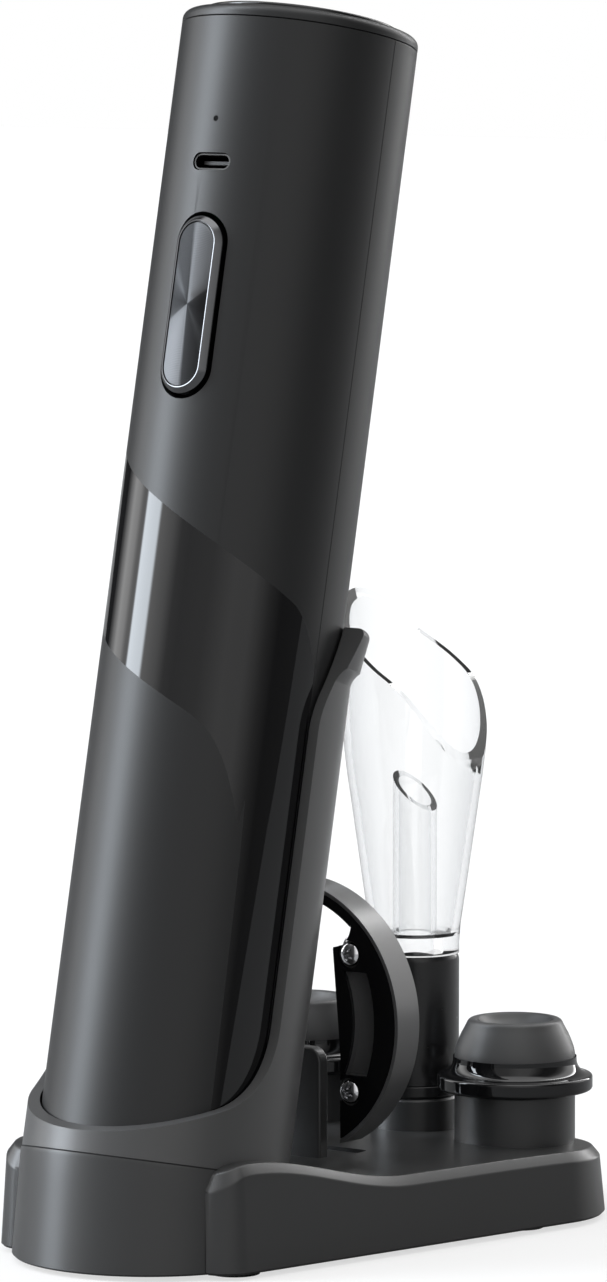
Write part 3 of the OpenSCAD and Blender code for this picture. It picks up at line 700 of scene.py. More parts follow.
class Finishes:
    """Every material of the object, by the record's slot."""

    def __init__(self, button_centre: Vector, tilt: float) -> None:
        """Builds them.

        Args:
            button_centre: The middle of the button's face in metres.
            tilt: How far the opener leans back, in radians.
        """
        made = (
            Moulded("soft_touch_black", (0.012, 0.0122, 0.0126), 0.4, marks=0.04, grain=0.22, depth=0.0008,
                    uneven=0.06, specular=0.4),
            Moulded("gloss_black", (0.004, 0.004, 0.0045), 0.02, marks=0.015, grain=9.0, depth=0.0),
            Moulded("base_plastic", (0.032, 0.0322, 0.0326), 0.33, marks=0.08, grain=0.3, depth=0.002,
                    uneven=0.08),
            Moulded("holder_plastic", (0.055, 0.055, 0.0555), 0.36, marks=0.06, grain=0.3, depth=0.002,
                    uneven=0.08, specular=0.6),
            Moulded("inner_plastic", (0.02, 0.02, 0.021), 0.5),
            Moulded("stopper_plastic", (0.06, 0.0602, 0.061), 0.42, grain=0.25, depth=0.001, uneven=0.1),
            Moulded("soft_rubber", (0.011, 0.011, 0.0115), 0.26, grain=0.2, depth=0.001, sheen=0.05),
            Moulded("valve_rubber", (0.25, 0.04, 0.03), 0.5),
            Moulded("cell_sleeve", (0.04, 0.22, 0.1), 0.25),
            Moulded("board_green", (0.015, 0.12, 0.05), 0.35),
            Moulded("light_pipe", (0.003, 0.003, 0.003), 0.6, specular=0.05),
            Moulded("white_nylon", (0.65, 0.63, 0.56), 0.4, grain=0.4),
            Metal("button_polished", (0.13, 0.132, 0.137), 0.2, depth=0.0),
            Moulded("cutter_rim", (0.07, 0.07, 0.071), 0.3, grain=0.3, depth=0.001, specular=0.9),
            # Nickel's colour is far darker than bright metal: painted shade, so the port's shell reads dark
            # in its recess.
            Metal("nickel", (0.045, 0.044, 0.043), 0.4),
            Metal("motor_steel", (0.5, 0.5, 0.52), 0.38),
            Metal("bronze", (0.5, 0.34, 0.16), 0.4),
            Metal("worm_steel", (0.62, 0.62, 0.64), 0.14),
            Metal("screw_steel", (0.75, 0.75, 0.77), 0.13),
            Clear("clear_acrylic", (0.985, 0.987, 0.988)),
            Spun("spun_metal", (0.085, 0.0865, 0.09), button_centre, tilt),
        )
        self.by_slot = {finish.name: finish.build() for finish in made}

    def __getitem__(self, slot: str) -> bpy.types.Material:
        """The material of a slot."""
        return self.by_slot[slot]

    def dress_frame(self, frame: dict[str, Any]) -> None:
        """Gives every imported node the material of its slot."""
        for part in frame["record"]["subparts"]:
            obj = frame["nodes"][part["node"]]
            obj.data.materials.clear()
            obj.data.materials.append(self[part["material_slot"]])


# ---- Shapes that geometry nodes make ----


def shape_piece(name: str, tree: bpy.types.NodeTree, values: dict[str, Any], place: Matrix,
                start: bpy.types.Mesh | None = None) -> bpy.types.Object:
    """Runs a tree and bakes what it makes.

    Args:
        name: The piece's name.
        tree: The node group.
        values: Its inputs by name.
        place: The matrix from millimetres to the row frame.
        start: The mesh that the tree starts from, if it needs one.

    Returns:
        The new object, a plain mesh at the origin.
    """
    obj = piece_from(name, start or bpy.data.meshes.new(name))
    modifier = obj.modifiers.new("shape", "NODES")
    modifier.node_group = tree
    for socket in tree.interface.items_tree:
        if socket.item_type == "SOCKET" and socket.in_out == "INPUT" and socket.name in values:
            modifier[socket.identifier] = values[socket.name]
    bake(obj)
    obj.data.transform(place)
    return obj


def close_tree(g: Graph, geometry: bpy.types.NodeSocket) -> bpy.types.NodeTree:
    """Ends a tree in Realize Instances and Set Material."""
    real = g.feed(g.add("GeometryNodeRealizeInstances"), Geometry=geometry)
    finish = g.feed(g.add("GeometryNodeSetMaterial"), Geometry=real.outputs[0], Material=g.start["Finish"])
    g.put(g.end["Geometry"], finish.outputs[0])
    return g.tree


def tube_tree() -> bpy.types.NodeTree:
    """A round tube, the rule that the opener's body follows."""
    g = group_tree(
        "body_tube",
        "GeometryNodeTree",
        {"Radius": (NUMBER, 24.0), "Wall": (NUMBER, 2.0), "Low": (NUMBER, 0.0), "High": (NUMBER, 10.0),
         "Steps": ("NodeSocketInt", TURN), "Finish": ("NodeSocketMaterial", None)},
        {"Geometry": SHAPE},
    )
    height = g.maths("SUBTRACT", g.start["High"], g.start["Low"])

    def drum(radius: Any, length: Any) -> bpy.types.NodeSocket:
        """A closed cylinder in the middle of the tube."""
        node = g.add("GeometryNodeMeshCylinder", fill_type="NGON")
        g.feed(node, Vertices=g.start["Steps"], Radius=radius, Depth=length)
        middle = g.maths("DIVIDE", g.maths("ADD", g.start["High"], g.start["Low"]), 2.0)
        moved = g.feed(g.add("GeometryNodeTransform"), Geometry=node.outputs["Mesh"],
                       Translation=g.vector(z=middle))
        return moved.outputs[0]

    outer = drum(g.start["Radius"], height)
    inner = drum(g.maths("SUBTRACT", g.start["Radius"], g.start["Wall"]), g.maths("ADD", height, 20.0))
    bored = g.add("GeometryNodeMeshBoolean", operation="DIFFERENCE", solver="EXACT")
    g.put(bored.inputs["Mesh 1"], outer)
    g.tree.links.new(inner, bored.inputs["Mesh 2"])
    return close_tree(g, bored.outputs[0])


def screw_tree() -> bpy.types.NodeTree:
    """Domed cross-slot screw heads, one on each point of the mesh that comes in, facing -Y."""
    g = group_tree(
        "screw_heads",
        "GeometryNodeTree",
        {"Places": (SHAPE, None), "Head": (NUMBER, 2.5), "Slot": (NUMBER, 0.62), "Turn": (NUMBER, 0.5),
         "Seed": ("NodeSocketInt", 3), "Finish": ("NodeSocketMaterial", None)},
        {"Geometry": SHAPE},
    )
    ball = g.feed(g.add("GeometryNodeMeshUVSphere"), Segments=48, Rings=24, Radius=g.start["Head"])
    flat = g.feed(g.add("GeometryNodeTransform"), Geometry=ball.outputs[0], Scale=(1.0, 0.52, 1.0))
    recess = []
    for across in (True, False):
        long, short = g.maths("MULTIPLY", g.start["Head"], 1.05), g.start["Slot"]
        size = g.vector(x=long if across else short, y=2.4, z=short if across else long)
        bar = g.feed(g.add("GeometryNodeMeshCube"), Size=size)
        out = g.feed(g.add("GeometryNodeTransform"), Geometry=bar.outputs[0], Translation=(0.0, -1.65, 0.0))
        recess.append(out.outputs[0])
    cut = g.add("GeometryNodeMeshBoolean", operation="DIFFERENCE", solver="EXACT")
    g.put(cut.inputs["Mesh 1"], flat.outputs[0])
    for bar in recess:
        g.tree.links.new(bar, cut.inputs["Mesh 2"])
    spin = g.add("FunctionNodeRandomValue", data_type="FLOAT")
    g.feed(spin, Seed=g.start["Seed"])
    g.put(spin.inputs[2], g.maths("MULTIPLY", g.start["Turn"], -1.0))
    g.put(spin.inputs[3], g.start["Turn"])
    put = g.add("GeometryNodeInstanceOnPoints")
    g.feed(put, Points=g.start["Places"], Instance=cut.outputs[0], Rotation=g.vector(y=spin.outputs[1]))
    return close_tree(g, put.outputs[0])


def helix_tree() -> bpy.types.NodeTree:
    """A round wire wound in a right-hand helix, which tapers to a point at its low end."""
    g = group_tree(
        "helix_wire",
        "GeometryNodeTree",
        {"Radius": (NUMBER, 3.5), "Wire": (NUMBER, 1.2), "Low": (NUMBER, 0.0), "High": (NUMBER, 60.0),
         "Turns": (NUMBER, 6.0), "Point": (NUMBER, 0.1), "Finish": ("NodeSocketMaterial", None)},
        {"Geometry": SHAPE},
    )
    spiral = g.add("GeometryNodeCurveSpiral")
    height = g.maths("SUBTRACT", g.start["High"], g.start["Low"])
    g.feed(spiral, Resolution=56, Rotations=g.start["Turns"], Start_Radius=g.start["Radius"],
           End_Radius=g.start["Radius"], Height=height)
    along = g.add("GeometryNodeSplineParameter").outputs["Factor"]
    taper = g.feed(g.add("ShaderNodeMapRange"), Value=along, From_Min=0.0, From_Max=g.start["Point"],
                   To_Min=0.12, To_Max=1.0)
    ring = g.feed(g.add("GeometryNodeCurvePrimitiveCircle"), Resolution=20, Radius=g.start["Wire"])
    wire = g.feed(g.add("GeometryNodeCurveToMesh"), Curve=spiral.outputs[0], Profile_Curve=ring.outputs[0],
                  Scale=taper.outputs[0], Fill_Caps=True)
    up = g.feed(g.add("GeometryNodeTransform"), Geometry=wire.outputs[0],
                Translation=g.vector(z=g.start["Low"]))
    return close_tree(g, up.outputs[0])


def fin_tree() -> bpy.types.NodeTree:
    """Sealing fins, all alike, one above the other on the mesh that comes in."""
    g = group_tree(
        "sealing_fins",
        "GeometryNodeTree",
        {"Core": (SHAPE, None), "Radius": (NUMBER, 9.9), "Depth": (NUMBER, 0.9), "First": (NUMBER, 0.0),
         "Step": (NUMBER, 4.0), "Count": ("NodeSocketInt", 4), "Finish": ("NodeSocketMaterial", None)},
        {"Geometry": SHAPE},
    )
    lip = g.feed(g.add("GeometryNodeCurvePrimitiveCircle"), Resolution=16, Radius=g.start["Depth"])
    hoop = g.feed(g.add("GeometryNodeCurvePrimitiveCircle"), Resolution=96,
                  Radius=g.maths("SUBTRACT", g.start["Radius"], g.start["Depth"]))
    fin = g.feed(g.add("GeometryNodeCurveToMesh"), Curve=hoop.outputs[0], Profile_Curve=lip.outputs[0])
    line = g.feed(g.add("GeometryNodeMeshLine"), Count=g.start["Count"],
                  Start_Location=g.vector(z=g.start["First"]), Offset=g.vector(z=g.start["Step"]))
    rows = g.feed(g.add("GeometryNodeInstanceOnPoints"), Points=line.outputs[0], Instance=fin.outputs[0])
    both = g.add("GeometryNodeJoinGeometry")
    g.tree.links.new(rows.outputs[0], both.inputs[0])
    g.tree.links.new(g.start["Core"], both.inputs[0])
    return close_tree(g, both.outputs[0])


# ---- The stand ----


@dataclass
class Stand:
    """The wedge-shaped stand with its cup, sockets, peg and rest. Distances are from the opener's foot."""

    depth: float = 130.6
    foot: float = 1.0
    cup_radius: float = 27.9
    cup_y: float = 2.9
    side: float = 32.0
    slope: float = 0.2025
    wall_gap: float = 2.5
    plate: float = 2.6
    draft: float = 1.1
    band: float = 1.75
    deck: float = 15.6
    wing: float = 22.5
    holder: float = 26.85
    sleeve_radius: float = 26.8
    seam: float = 19.4
    seam_radius: float = 27.0
    panel: float = 130.5
    bore: float = 24.45
    base_slot: str = "base_plastic"

    def __post_init__(self) -> None:
        """Works out what the rest follows from."""
        self.rear = self.cup_y - self.cup_radius + self.depth
        self.turn = math.degrees(math.atan(self.slope))

    def height(self, y: float) -> float:
        """Height of the stand's top at a distance behind the opener's foot."""
        if y < -3:
            return self.wing - 9 + math.sqrt(max(81 - (y + 3) ** 2, 1))
        if y < 40:
            return self.deck + (self.wing - self.deck) * (1 + math.cos(math.pi * (y + 3) / 43)) / 2
        return self.deck - (1.1 * ((y - 60) / 44) ** 2 if y > 60 else 0)

    def plan(self, inset: float, corner_steps: int = 28, side_steps: int = 70) -> list[Point]:
        """Right half of the plan from front to back.

        Args:
            inset: How far it is moved inwards.
            corner_steps: Stretches in each rounded corner.
            side_steps: Stretches along the side.

        Returns:
            The points.
        """
        corners = []
        for y, radius, start, end in ((-4.0, 7.0, -84, -self.turn), (self.rear - 20, 20.0, -self.turn, 84)):
            x = self.side + self.slope * y - radius / math.cos(math.radians(self.turn))
            corners.append(arc((x, y), radius - inset, start, end, corner_steps))
        (ax, ay), (bx, by) = corners[0][-1], corners[1][0]
        steps = [i / side_steps for i in range(1, side_steps)]
        return corners[0] + [(ax + (bx - ax) * t, ay + (by - ay) * t) for t in steps] + corners[1]

    def skin_rings(self) -> list[list[Vector]]:
        """Half rings of the skin from its lower edge to its flat top, each with its inset and drop."""
        stations = [(self.draft - 0.03, self.band + 0.55), (self.draft, self.band + 0.3)]
        stations += [(self.draft + 0.12, self.band + 0.02), (self.draft + self.band - 0.25, 0.18)]
        stations += [(self.draft + self.band + 0.05, 0.03), (self.draft + self.band + 0.4, 0.0)]
        rings = []
        for inset, rise in ((0.5, 0.0), (0.0, 0.5)):
            rings.append([Vector((x, y, self.foot + rise)) for x, y in self.plan(inset)])
        for inset, drop in stations:
            rings.append([Vector((x, y, self.height(y) - drop)) for x, y in self.plan(inset)])
        return rings

    def shell(self, stand: Matrix, lean: Matrix) -> bpy.types.Object:
        """The stand's skin, with its underside, its pocket and the cup's hole cut out."""
        bm = bmesh.new()
        rows = []
        for ring in self.skin_rings():
            right = [bm.verts.new(p) for p in ring]
            left = [bm.verts.new((-p.x, p.y, p.z)) for p in ring]
            rows.append((right, left))
        count = len(rows[0][0])
        for (right, left), (right_up, left_up) in zip(rows, rows[1:]):
            for i in range(count - 1):
                bm.faces.new((right[i], right[i + 1], right_up[i + 1], right_up[i]))
                bm.faces.new((left[i + 1], left[i], left_up[i], left_up[i + 1]))
            bm.faces.new((left[0], right[0], right_up[0], left_up[0]))
            bm.faces.new((right[-1], left[-1], left_up[-1], right_up[-1]))
        for right, left in (rows[0], rows[-1]):
            for i in range(count - 1):
                bm.faces.new((right[i], right[i + 1], left[i + 1], left[i]))
        obj = from_bmesh("stand_shell", bm, stand)
        half = self.plan(self.wall_gap, 10, 2)
        outline = half + [(-x, y) for x, y in half[::-1]]
        carve(obj, Cut.AWAY, column("tool", outline, -5, self.plate, stand))
        carve(obj, Cut.AWAY, turned("tool", [(0, -40), (self.holder, -40), (self.holder, 60), (0, 60)], lean))
        pocket = rounded([(-13.2, 47.2), (13.2, 47.2), (13.2, 58.4), (-13.2, 58.4)], [1.2] * 4)
        carve(obj, Cut.AWAY, column("tool", pocket, self.deck - 0.8, self.deck + 5, stand))
        return ease(obj, 0.25, 2, 62)

    def cup(self, stand: Matrix, lean: Matrix) -> bpy.types.Object:
        """The cup at the front, from the ground to the seam under the holder."""
        to_mm = stand.inverted() @ lean
        ground, seam = [], []
        for i in range(TURN):
            x, y = math.cos(math.tau * i / TURN), math.sin(math.tau * i / TURN)
            ground.append(Vector((self.cup_radius * x, self.cup_y + self.cup_radius * y, 0)))
            seam.append(to_mm @ Vector((self.seam_radius * x, self.seam_radius * y, self.seam)))
        rings = [[Vector((p.x * 0.985, self.cup_y + (p.y - self.cup_y) * 0.985, self.foot)) for p in ground]]
        rings += [[Vector((p.x, p.y, self.foot + 0.4)) for p in ground]]
        for t in (0.25, 0.5, 0.75, 0.965):
            rise = Vector((0, 0, (self.foot + 0.4) * (1 - t)))
            rings.append([low.lerp(high, t) + rise for low, high in zip(ground, seam)])
        middle = sum(seam, Vector()) / TURN
        rings += [[p.lerp(middle, 0.004) for p in seam], [p.lerp(middle, 0.012) for p in seam]]
        bm = bmesh.new()
        skin(bm, rings)
        obj = from_bmesh("holder_cup", bm, stand)
        for radius, low, high in ((21.5, -30, 7.8), (self.bore, 9.3, 14), (25.45, 13, 21)):
            carve(obj, Cut.AWAY, turned("tool", [(0, low), (radius, low), (radius, high), (0, high)], lean))
        under = arc((0, self.cup_y), self.cup_radius - 2, 0, 354, 59)
        carve(obj, Cut.AWAY, column("tool", under, -5, self.plate, stand))
        return ease(obj, 0.0)

    def sleeve(self, lean: Matrix) -> bpy.types.Object:
        """The thin holder with its high back panel, its sweeping edge and its flared top."""
        low, top, wall = 13.0, self.panel, self.sleeve_radius
        outer = [(25.4, low), (25.4, self.seam - 0.25), (25.65, self.seam), (wall - 0.25, self.seam)]
        outer.append((wall, self.seam + 0.3))
        flare = arc((wall + 4.4, top - 12), 4.4, 180, 130, 10)
        lip = arc((wall + 2.6 - 1.6, top - 1.6), 1.6, 0, 90, 12)
        profile = outer + flare + lip + [(self.bore, top), (self.bore, low)]
        obj = turned("holder_sleeve_shell", profile, lean)
        cut = [(-40, 17.7), (-wall, 23.9), *arc((-20, 49.2), 20, -65, 0, 40)]
        cut += [*arc((16, 108), 16, 180, 150, 24), (13.4, 135.5), (13.4, 200), (-40, 200)]
        side = lean @ Matrix.Rotation(math.radians(90), 4, "Z")
        carve(obj, Cut.AWAY, prism("tool", cut, -60, 60, side))
        return ease(obj, 0.85, 4, 50)

    def build(self, lean: Matrix, finishes: Finishes) -> None:
        """Makes and dresses the stand's pieces."""
        foot = lean.translation
        stand = upright_frame(foot.x, foot.y, 0)
        slot, base = self.base_slot, finishes[self.base_slot]
        dressed(self.shell(stand, lean), base, "stand", slot, "base_shell")
        dressed(self.cup(stand, lean), base, "stand", slot)
        sleeve = true_round(self.sleeve(lean), lean, self.sleeve_radius)
        dressed(sleeve, finishes["holder_plastic"], "stand", "holder_plastic", "holder_sleeve")
        for side in ("left", "right"):
            place = upright_frame(*axis_of(f"stopper_{side}_collar").xy)
            socket = [(10.2, 4.6), (10.2, 25.8), (11.9, 25.8), (12.5, 25.2), (12.5, 12.0), (13.2, 10.0),
                      (13.2, 4.6)]
            dressed(ease(turned(f"stopper_socket_{side}", socket, place), 0.15, 2), base, "stand", slot)
        place = upright_frame(*axis_of("pourer_stem").xy)
        peg = [(0, 4), (9.3, 4), (9.3, 21.4), (8.9, 22), (5.4, 22), (5.4, 33), (4.4, 34), (0, 34)]
        dressed(ease(turned("pourer_peg", peg, place), 0.15, 2), base, "stand", slot)
        rest = rounded([(-11.2, 10), (11.2, 10), (11.2, 38.2), (-11.2, 38.2)], [0, 0, 3, 3], 10)
        dressed(ease(prism("cutter_rest", rest, 44.2, 47.2, stand), 0.5, 4), base, "stand", slot)


# ---- The opener ----


@dataclass
class Opener:
    """The opener's body, which leans: places are along its axis, and angles are from the front."""

    radius: float = 24.0
    wall: float = 2.0
    nose: float = 9.5
    seam: float = 248.2
    top: float = 250.9
    disc: float = 19.8
    inlay_depth: float = 0.8
    split: float = 0.05
    button_at: float = 189.4
    button_width: float = 11.4
    button_length: float = 36.0
    button_out: float = 1.6

    def tube(
        self, name: str, radius: float, wall: float, low: float, high: float, lean: Matrix
    ) -> bpy.types.Object:
        """A tube from the shared tree."""
        tree = shared_group("body_tube", tube_tree)
        values = {"Radius": radius, "Wall": wall, "Low": low, "High": high, "Steps": TURN}
        return shape_piece(name, tree, values, lean)

    def inlay_outline(self) -> list[Point]:
        """The glossy wave in x and distance along the axis, seen from the front."""

        def at(angle: float, s: float) -> Point:
            return self.radius * math.sin(math.radians(angle)), s

        upper = [at(a, 149 - 0.23 * a - 8 * (max(a - 70, 0) / 20) ** 2) for a in range(-84, 91, 3)]
        lower = [at(a, 113.8 - 0.21 * a - 0.00037 * max(a - 22, 0) ** 3) for a in range(56, -85, -4)]
        corner = [(30, 118), (30, 0), at(61, 0), at(61, 34), at(60, 62), at(59.3, 82), at(58.3, 93)]
        return [(-30, 172), *upper, *corner, *lower, (-30, 134)]

    def front(self, lean: Matrix) -> bpy.types.Object:
        """The front shell, with its button well, its port, its light and the bed of the inlay."""
        obj = self.tube("body_front", self.radius, self.wall, self.nose, self.seam - 0.08, lean)
        half = [(-40, 0), (40, 0), (40, 400), (-40, 400)]
        carve(obj, Cut.COMMON, prism("tool", half, -60, -self.split, lean))
        room = obround(self.button_width + 1.3, self.button_length + 1.8, 32)
        well = [(x, z + self.button_at) for x, z in room]
        port = [(x, z + 218.5) for z, x in obround(3.6, 9.3, 20)]
        light = arc((0, 227.2), 0.6, 0, 345, 23)
        for hole in (well, port, light):
            carve(obj, Cut.AWAY, prism("tool", hole, -40, -10, lean))
        bed = self.tube("tool", self.radius + 1, 1 + self.inlay_depth + 0.1, 0, 260, lean)
        carve(bed, Cut.COMMON, prism("tool2", self.inlay_outline(), -60, -0.01, lean))
        carve(obj, Cut.AWAY, bed)
        return ease(obj, 0.14, 2, 50)

    def rear(self, lean: Matrix) -> bpy.types.Object:
        """The rear shell."""
        obj = self.tube("body_rear", self.radius, self.wall, self.nose, self.seam - 0.08, lean)
        half = [(-40, 0), (40, 0), (40, 400), (-40, 400)]
        carve(obj, Cut.COMMON, prism("tool", half, self.split, 60, lean))
        return ease(obj, 0.14, 2, 50)

    def inlay(self, lean: Matrix) -> bpy.types.Object:
        """The mirror-like wave, flush with the shell."""
        obj = self.tube("gloss_wave", self.radius, self.inlay_depth, self.nose + 0.02, self.seam, lean)
        carve(obj, Cut.COMMON, prism("tool", self.inlay_outline(), -60, -self.split, lean))
        return ease(obj, 0.05, 1, 50)

    def cap(self, lean: Matrix) -> bpy.types.Object:
        """The ring on top, with its rounded shoulder."""
        shoulder = arc((self.radius - 1.8, self.top - 1.8), 1.8, 0, 90, 14)
        inner = self.radius - self.wall
        profile = [(inner - 2, self.seam - 3), (inner - 0.1, self.seam - 3), (inner - 0.1, self.seam + 0.08)]
        profile += [(self.radius - 0.15, self.seam + 0.08), (self.radius, self.seam + 0.22), *shoulder]
        profile += [(self.disc + 0.3, self.top), (self.disc + 0.12, self.top - 0.25)]
        profile += [(self.disc + 0.12, self.top - 1), (inner - 2, self.top - 1)]
        return ease(turned("cap_ring", profile, lean), 0)

    def lid(self, lean: Matrix) -> bpy.types.Object:
        """The glossy disc in the ring, with its raised rim and its dished middle."""
        z = self.top
        edge = arc((self.disc - 0.5, z + 0.6), 0.5, 0, 90, 8)
        dish = [(self.disc - 2.0, z + 1.1), (self.disc - 2.6, z + 0.75), (12, z + 0.66), (0, z + 0.6)]
        return ease(turned("cap_lid", [(0, z - 1), (self.disc, z - 1), *edge, *dish], lean), 0)

    def button_rings(self, steps: Sequence[tuple[float, float]], lean: Matrix, name: str) -> bpy.types.Object:
        """A slot-shaped solid that bulges as the body does.

        Args:
            steps: For each ring, how far it is inside the button's edge and how far below its face.
            lean: The opener's frame.
            name: The piece's name.

        Returns:
            The new object.
        """
        face = self.radius + self.button_out
        bm = bmesh.new()
        rings = []
        for inset, drop in steps:
            outline = obround(self.button_width - 2 * inset, self.button_length - 2 * inset, 36)
            rings.append([
                Vector((x, -math.sqrt(face * face - x * x) + drop, z + self.button_at)) for x, z in outline
            ])
        skin(bm, rings)
        return from_bmesh(name, bm, lean)

    def button(self, lean: Matrix, finishes: Finishes) -> None:
        """The rocker button: a polished frame round a spun face."""
        frame = [(0, 5.5), (0, 1.15), (0.12, 0.95), (0.95, 0.08), (1.1, 0.0), (1.3, 0.05), (1.35, 0.5)]
        rim = ease(self.button_rings(frame, lean, "button_frame"), 0)
        dressed(rim, finishes["button_polished"], "button", "button_polished", "button_cap")
        plate = [(1.42, 0.9), (1.42, 0.3), (1.55, 0.2), (2.6, 0.16), (4.0, 0.12), (5.2, 0.1)]
        face = ease(self.button_rings(plate, lean, "button_spun_face"), 0)
        dressed(face, finishes["spun_metal"], "button", "spun_metal", "button_face")

    def worm(self, lean: Matrix) -> bpy.types.Object:
        """The corkscrew's worm."""
        low, high, pitch = 34.0, 96.5, 9.5
        values = {"Radius": 3.5, "Wire": 1.2, "Low": low, "High": high, "Turns": (high - low) / pitch,
                  "Point": 0.1}
        return ease(shape_piece("worm_wire", shared_group("helix_wire", helix_tree), values, lean), 0)

    def build(self, lean: Matrix, finishes: Finishes) -> None:
        """Makes and dresses the opener's pieces."""
        soft, gloss = finishes["soft_touch_black"], finishes["gloss_black"]
        front = true_round(self.front(lean), lean, self.radius)
        dressed(front, soft, "opener", "soft_touch_black", "front_shell")
        rear = true_round(self.rear(lean), lean, self.radius)
        dressed(rear, soft, "opener", "soft_touch_black", "rear_shell")
        dressed(self.cap(lean), soft, "opener", "soft_touch_black", "top_cap")
        inlay = true_round(self.inlay(lean), lean, self.radius)
        dressed(inlay, gloss, "opener", "gloss_black", "gloss_inlay")
        dressed(self.lid(lean), gloss, "opener", "gloss_black", "top_disc")
        self.button(lean, finishes)
        dressed(self.worm(lean), finishes["worm_steel"], "corkscrew", "worm_steel", "worm")


# ---- The pourer ----


@dataclass
class Pourer:
    """The clear pourer on its rubber stem. Heights are from the table."""

    stem_top: float = 51.8
    floor: float = 55.6
    wall: float = 1.5
    stem: float = 9.3
    channel: float = 4.0
    tube: float = 4.6

    def side(self) -> list[Point]:
        """Outer radius against height."""
        return [(self.stem, 54.0), (9.6, 58.0), (10.9, 66.7), (12.0, 74.5), (13.3, 83.6), (14.1, 89.0),
                (14.7, 94.0), (15.05, 99.0), (15.2, 104.0), (15.2, 130.0)]

    def spout(self, place: Matrix) -> bpy.types.Object:
        """The clear spout, open at its slanted mouth."""
        outer = [(self.channel, self.stem_top), (self.stem, self.stem_top), *self.side()]
        inner = [(r - self.wall, z) for r, z in self.side()[:0:-1] if z > self.floor + 1]
        inner += [(self.stem - self.wall, self.floor + 0.8), (self.stem - self.wall - 0.8, self.floor)]
        obj = turned("spout_shell", outer + inner + [(self.channel, self.floor)], place)
        mouth = [(-16, 128.4), (-13.5, 125.2), (-8.8, 118.8), (-0.4, 112.6), (4, 109.5), (7.3, 106),
                 (10.4, 101), (12.9, 95.4), (14.9, 89.4), (17, 82), (30, 82), (30, 140), (-16, 140)]
        carve(obj, Cut.AWAY, prism("tool", smooth_run(mouth, 9), -30, 30, place))
        return ease(obj, 0.4, 3, 50)

    def air_tube(self, place: Matrix) -> bpy.types.Object:
        """The inner tube with its slanted end."""
        low, high = self.floor + 0.02, 95
        profile = [(3.4, low), (self.tube, low), (self.tube, high), (3.4, high)]
        obj = turned("air_tube", profile, place, 96)
        slant = [(-10, 94.2), (10, 77.4), (20, 77.4), (20, 110), (-10, 110)]
        carve(obj, Cut.AWAY, prism("tool", slant, -30, 30, place))
        return ease(obj, 0.3, 3, 50)

    def stem_sleeve(self, place: Matrix) -> bpy.types.Object:
        """The rubber stem, which stands over the peg."""
        profile = [(5.7, 22.05), (9.0, 22.05), (9.3, 22.5), (9.3, 24.4), (9.12, 24.6), (9.3, 24.8)]
        profile += [(9.3, 50.6), (8.9, 51.7), (4.0, 51.7), (4.0, 35.0), (5.7, 35.0)]
        return ease(turned("stem_sleeve", profile, place), 0)

    def build(self, finishes: Finishes) -> None:
        """Makes and dresses the pourer's pieces."""
        place = upright_frame(*axis_of("pourer_stem").xy)
        clear = finishes["clear_acrylic"]
        dressed(self.spout(place), clear, "pourer", "clear_acrylic", "pourer_spout")
        dressed(self.air_tube(place), clear, "pourer", "clear_acrylic", "pourer_air_tube")
        dressed(self.stem_sleeve(place), finishes["soft_rubber"], "pourer", "soft_rubber", "pourer_stem")


def smooth_run(points: Sequence[Point], count: int, steps: int = 5) -> list[Point]:
    """Curves the first points of an outline through all of them, and keeps the rest.

    Args:
        points: The outline.
        count: How many of its stretches become curved.
        steps: Straight stretches in each curved one.

    Returns:
        The finer outline.
    """
    out: list[Point] = []
    for i in range(count):
        a, b, c, d = (Vector(points[min(max(k, 0), count)]) for k in (i - 1, i, i + 1, i + 2))
        for k in range(steps):
            t = k / steps
            p = b + (c - a) * (t / 2) + (2 * a - 5 * b + 4 * c - d) * (t * t / 2)
            p += (3 * b - a - 3 * c + d) * (t**3 / 2)
            out.append((p.x, p.y))
    return out + list(points[count:])


# ---- The stoppers ----


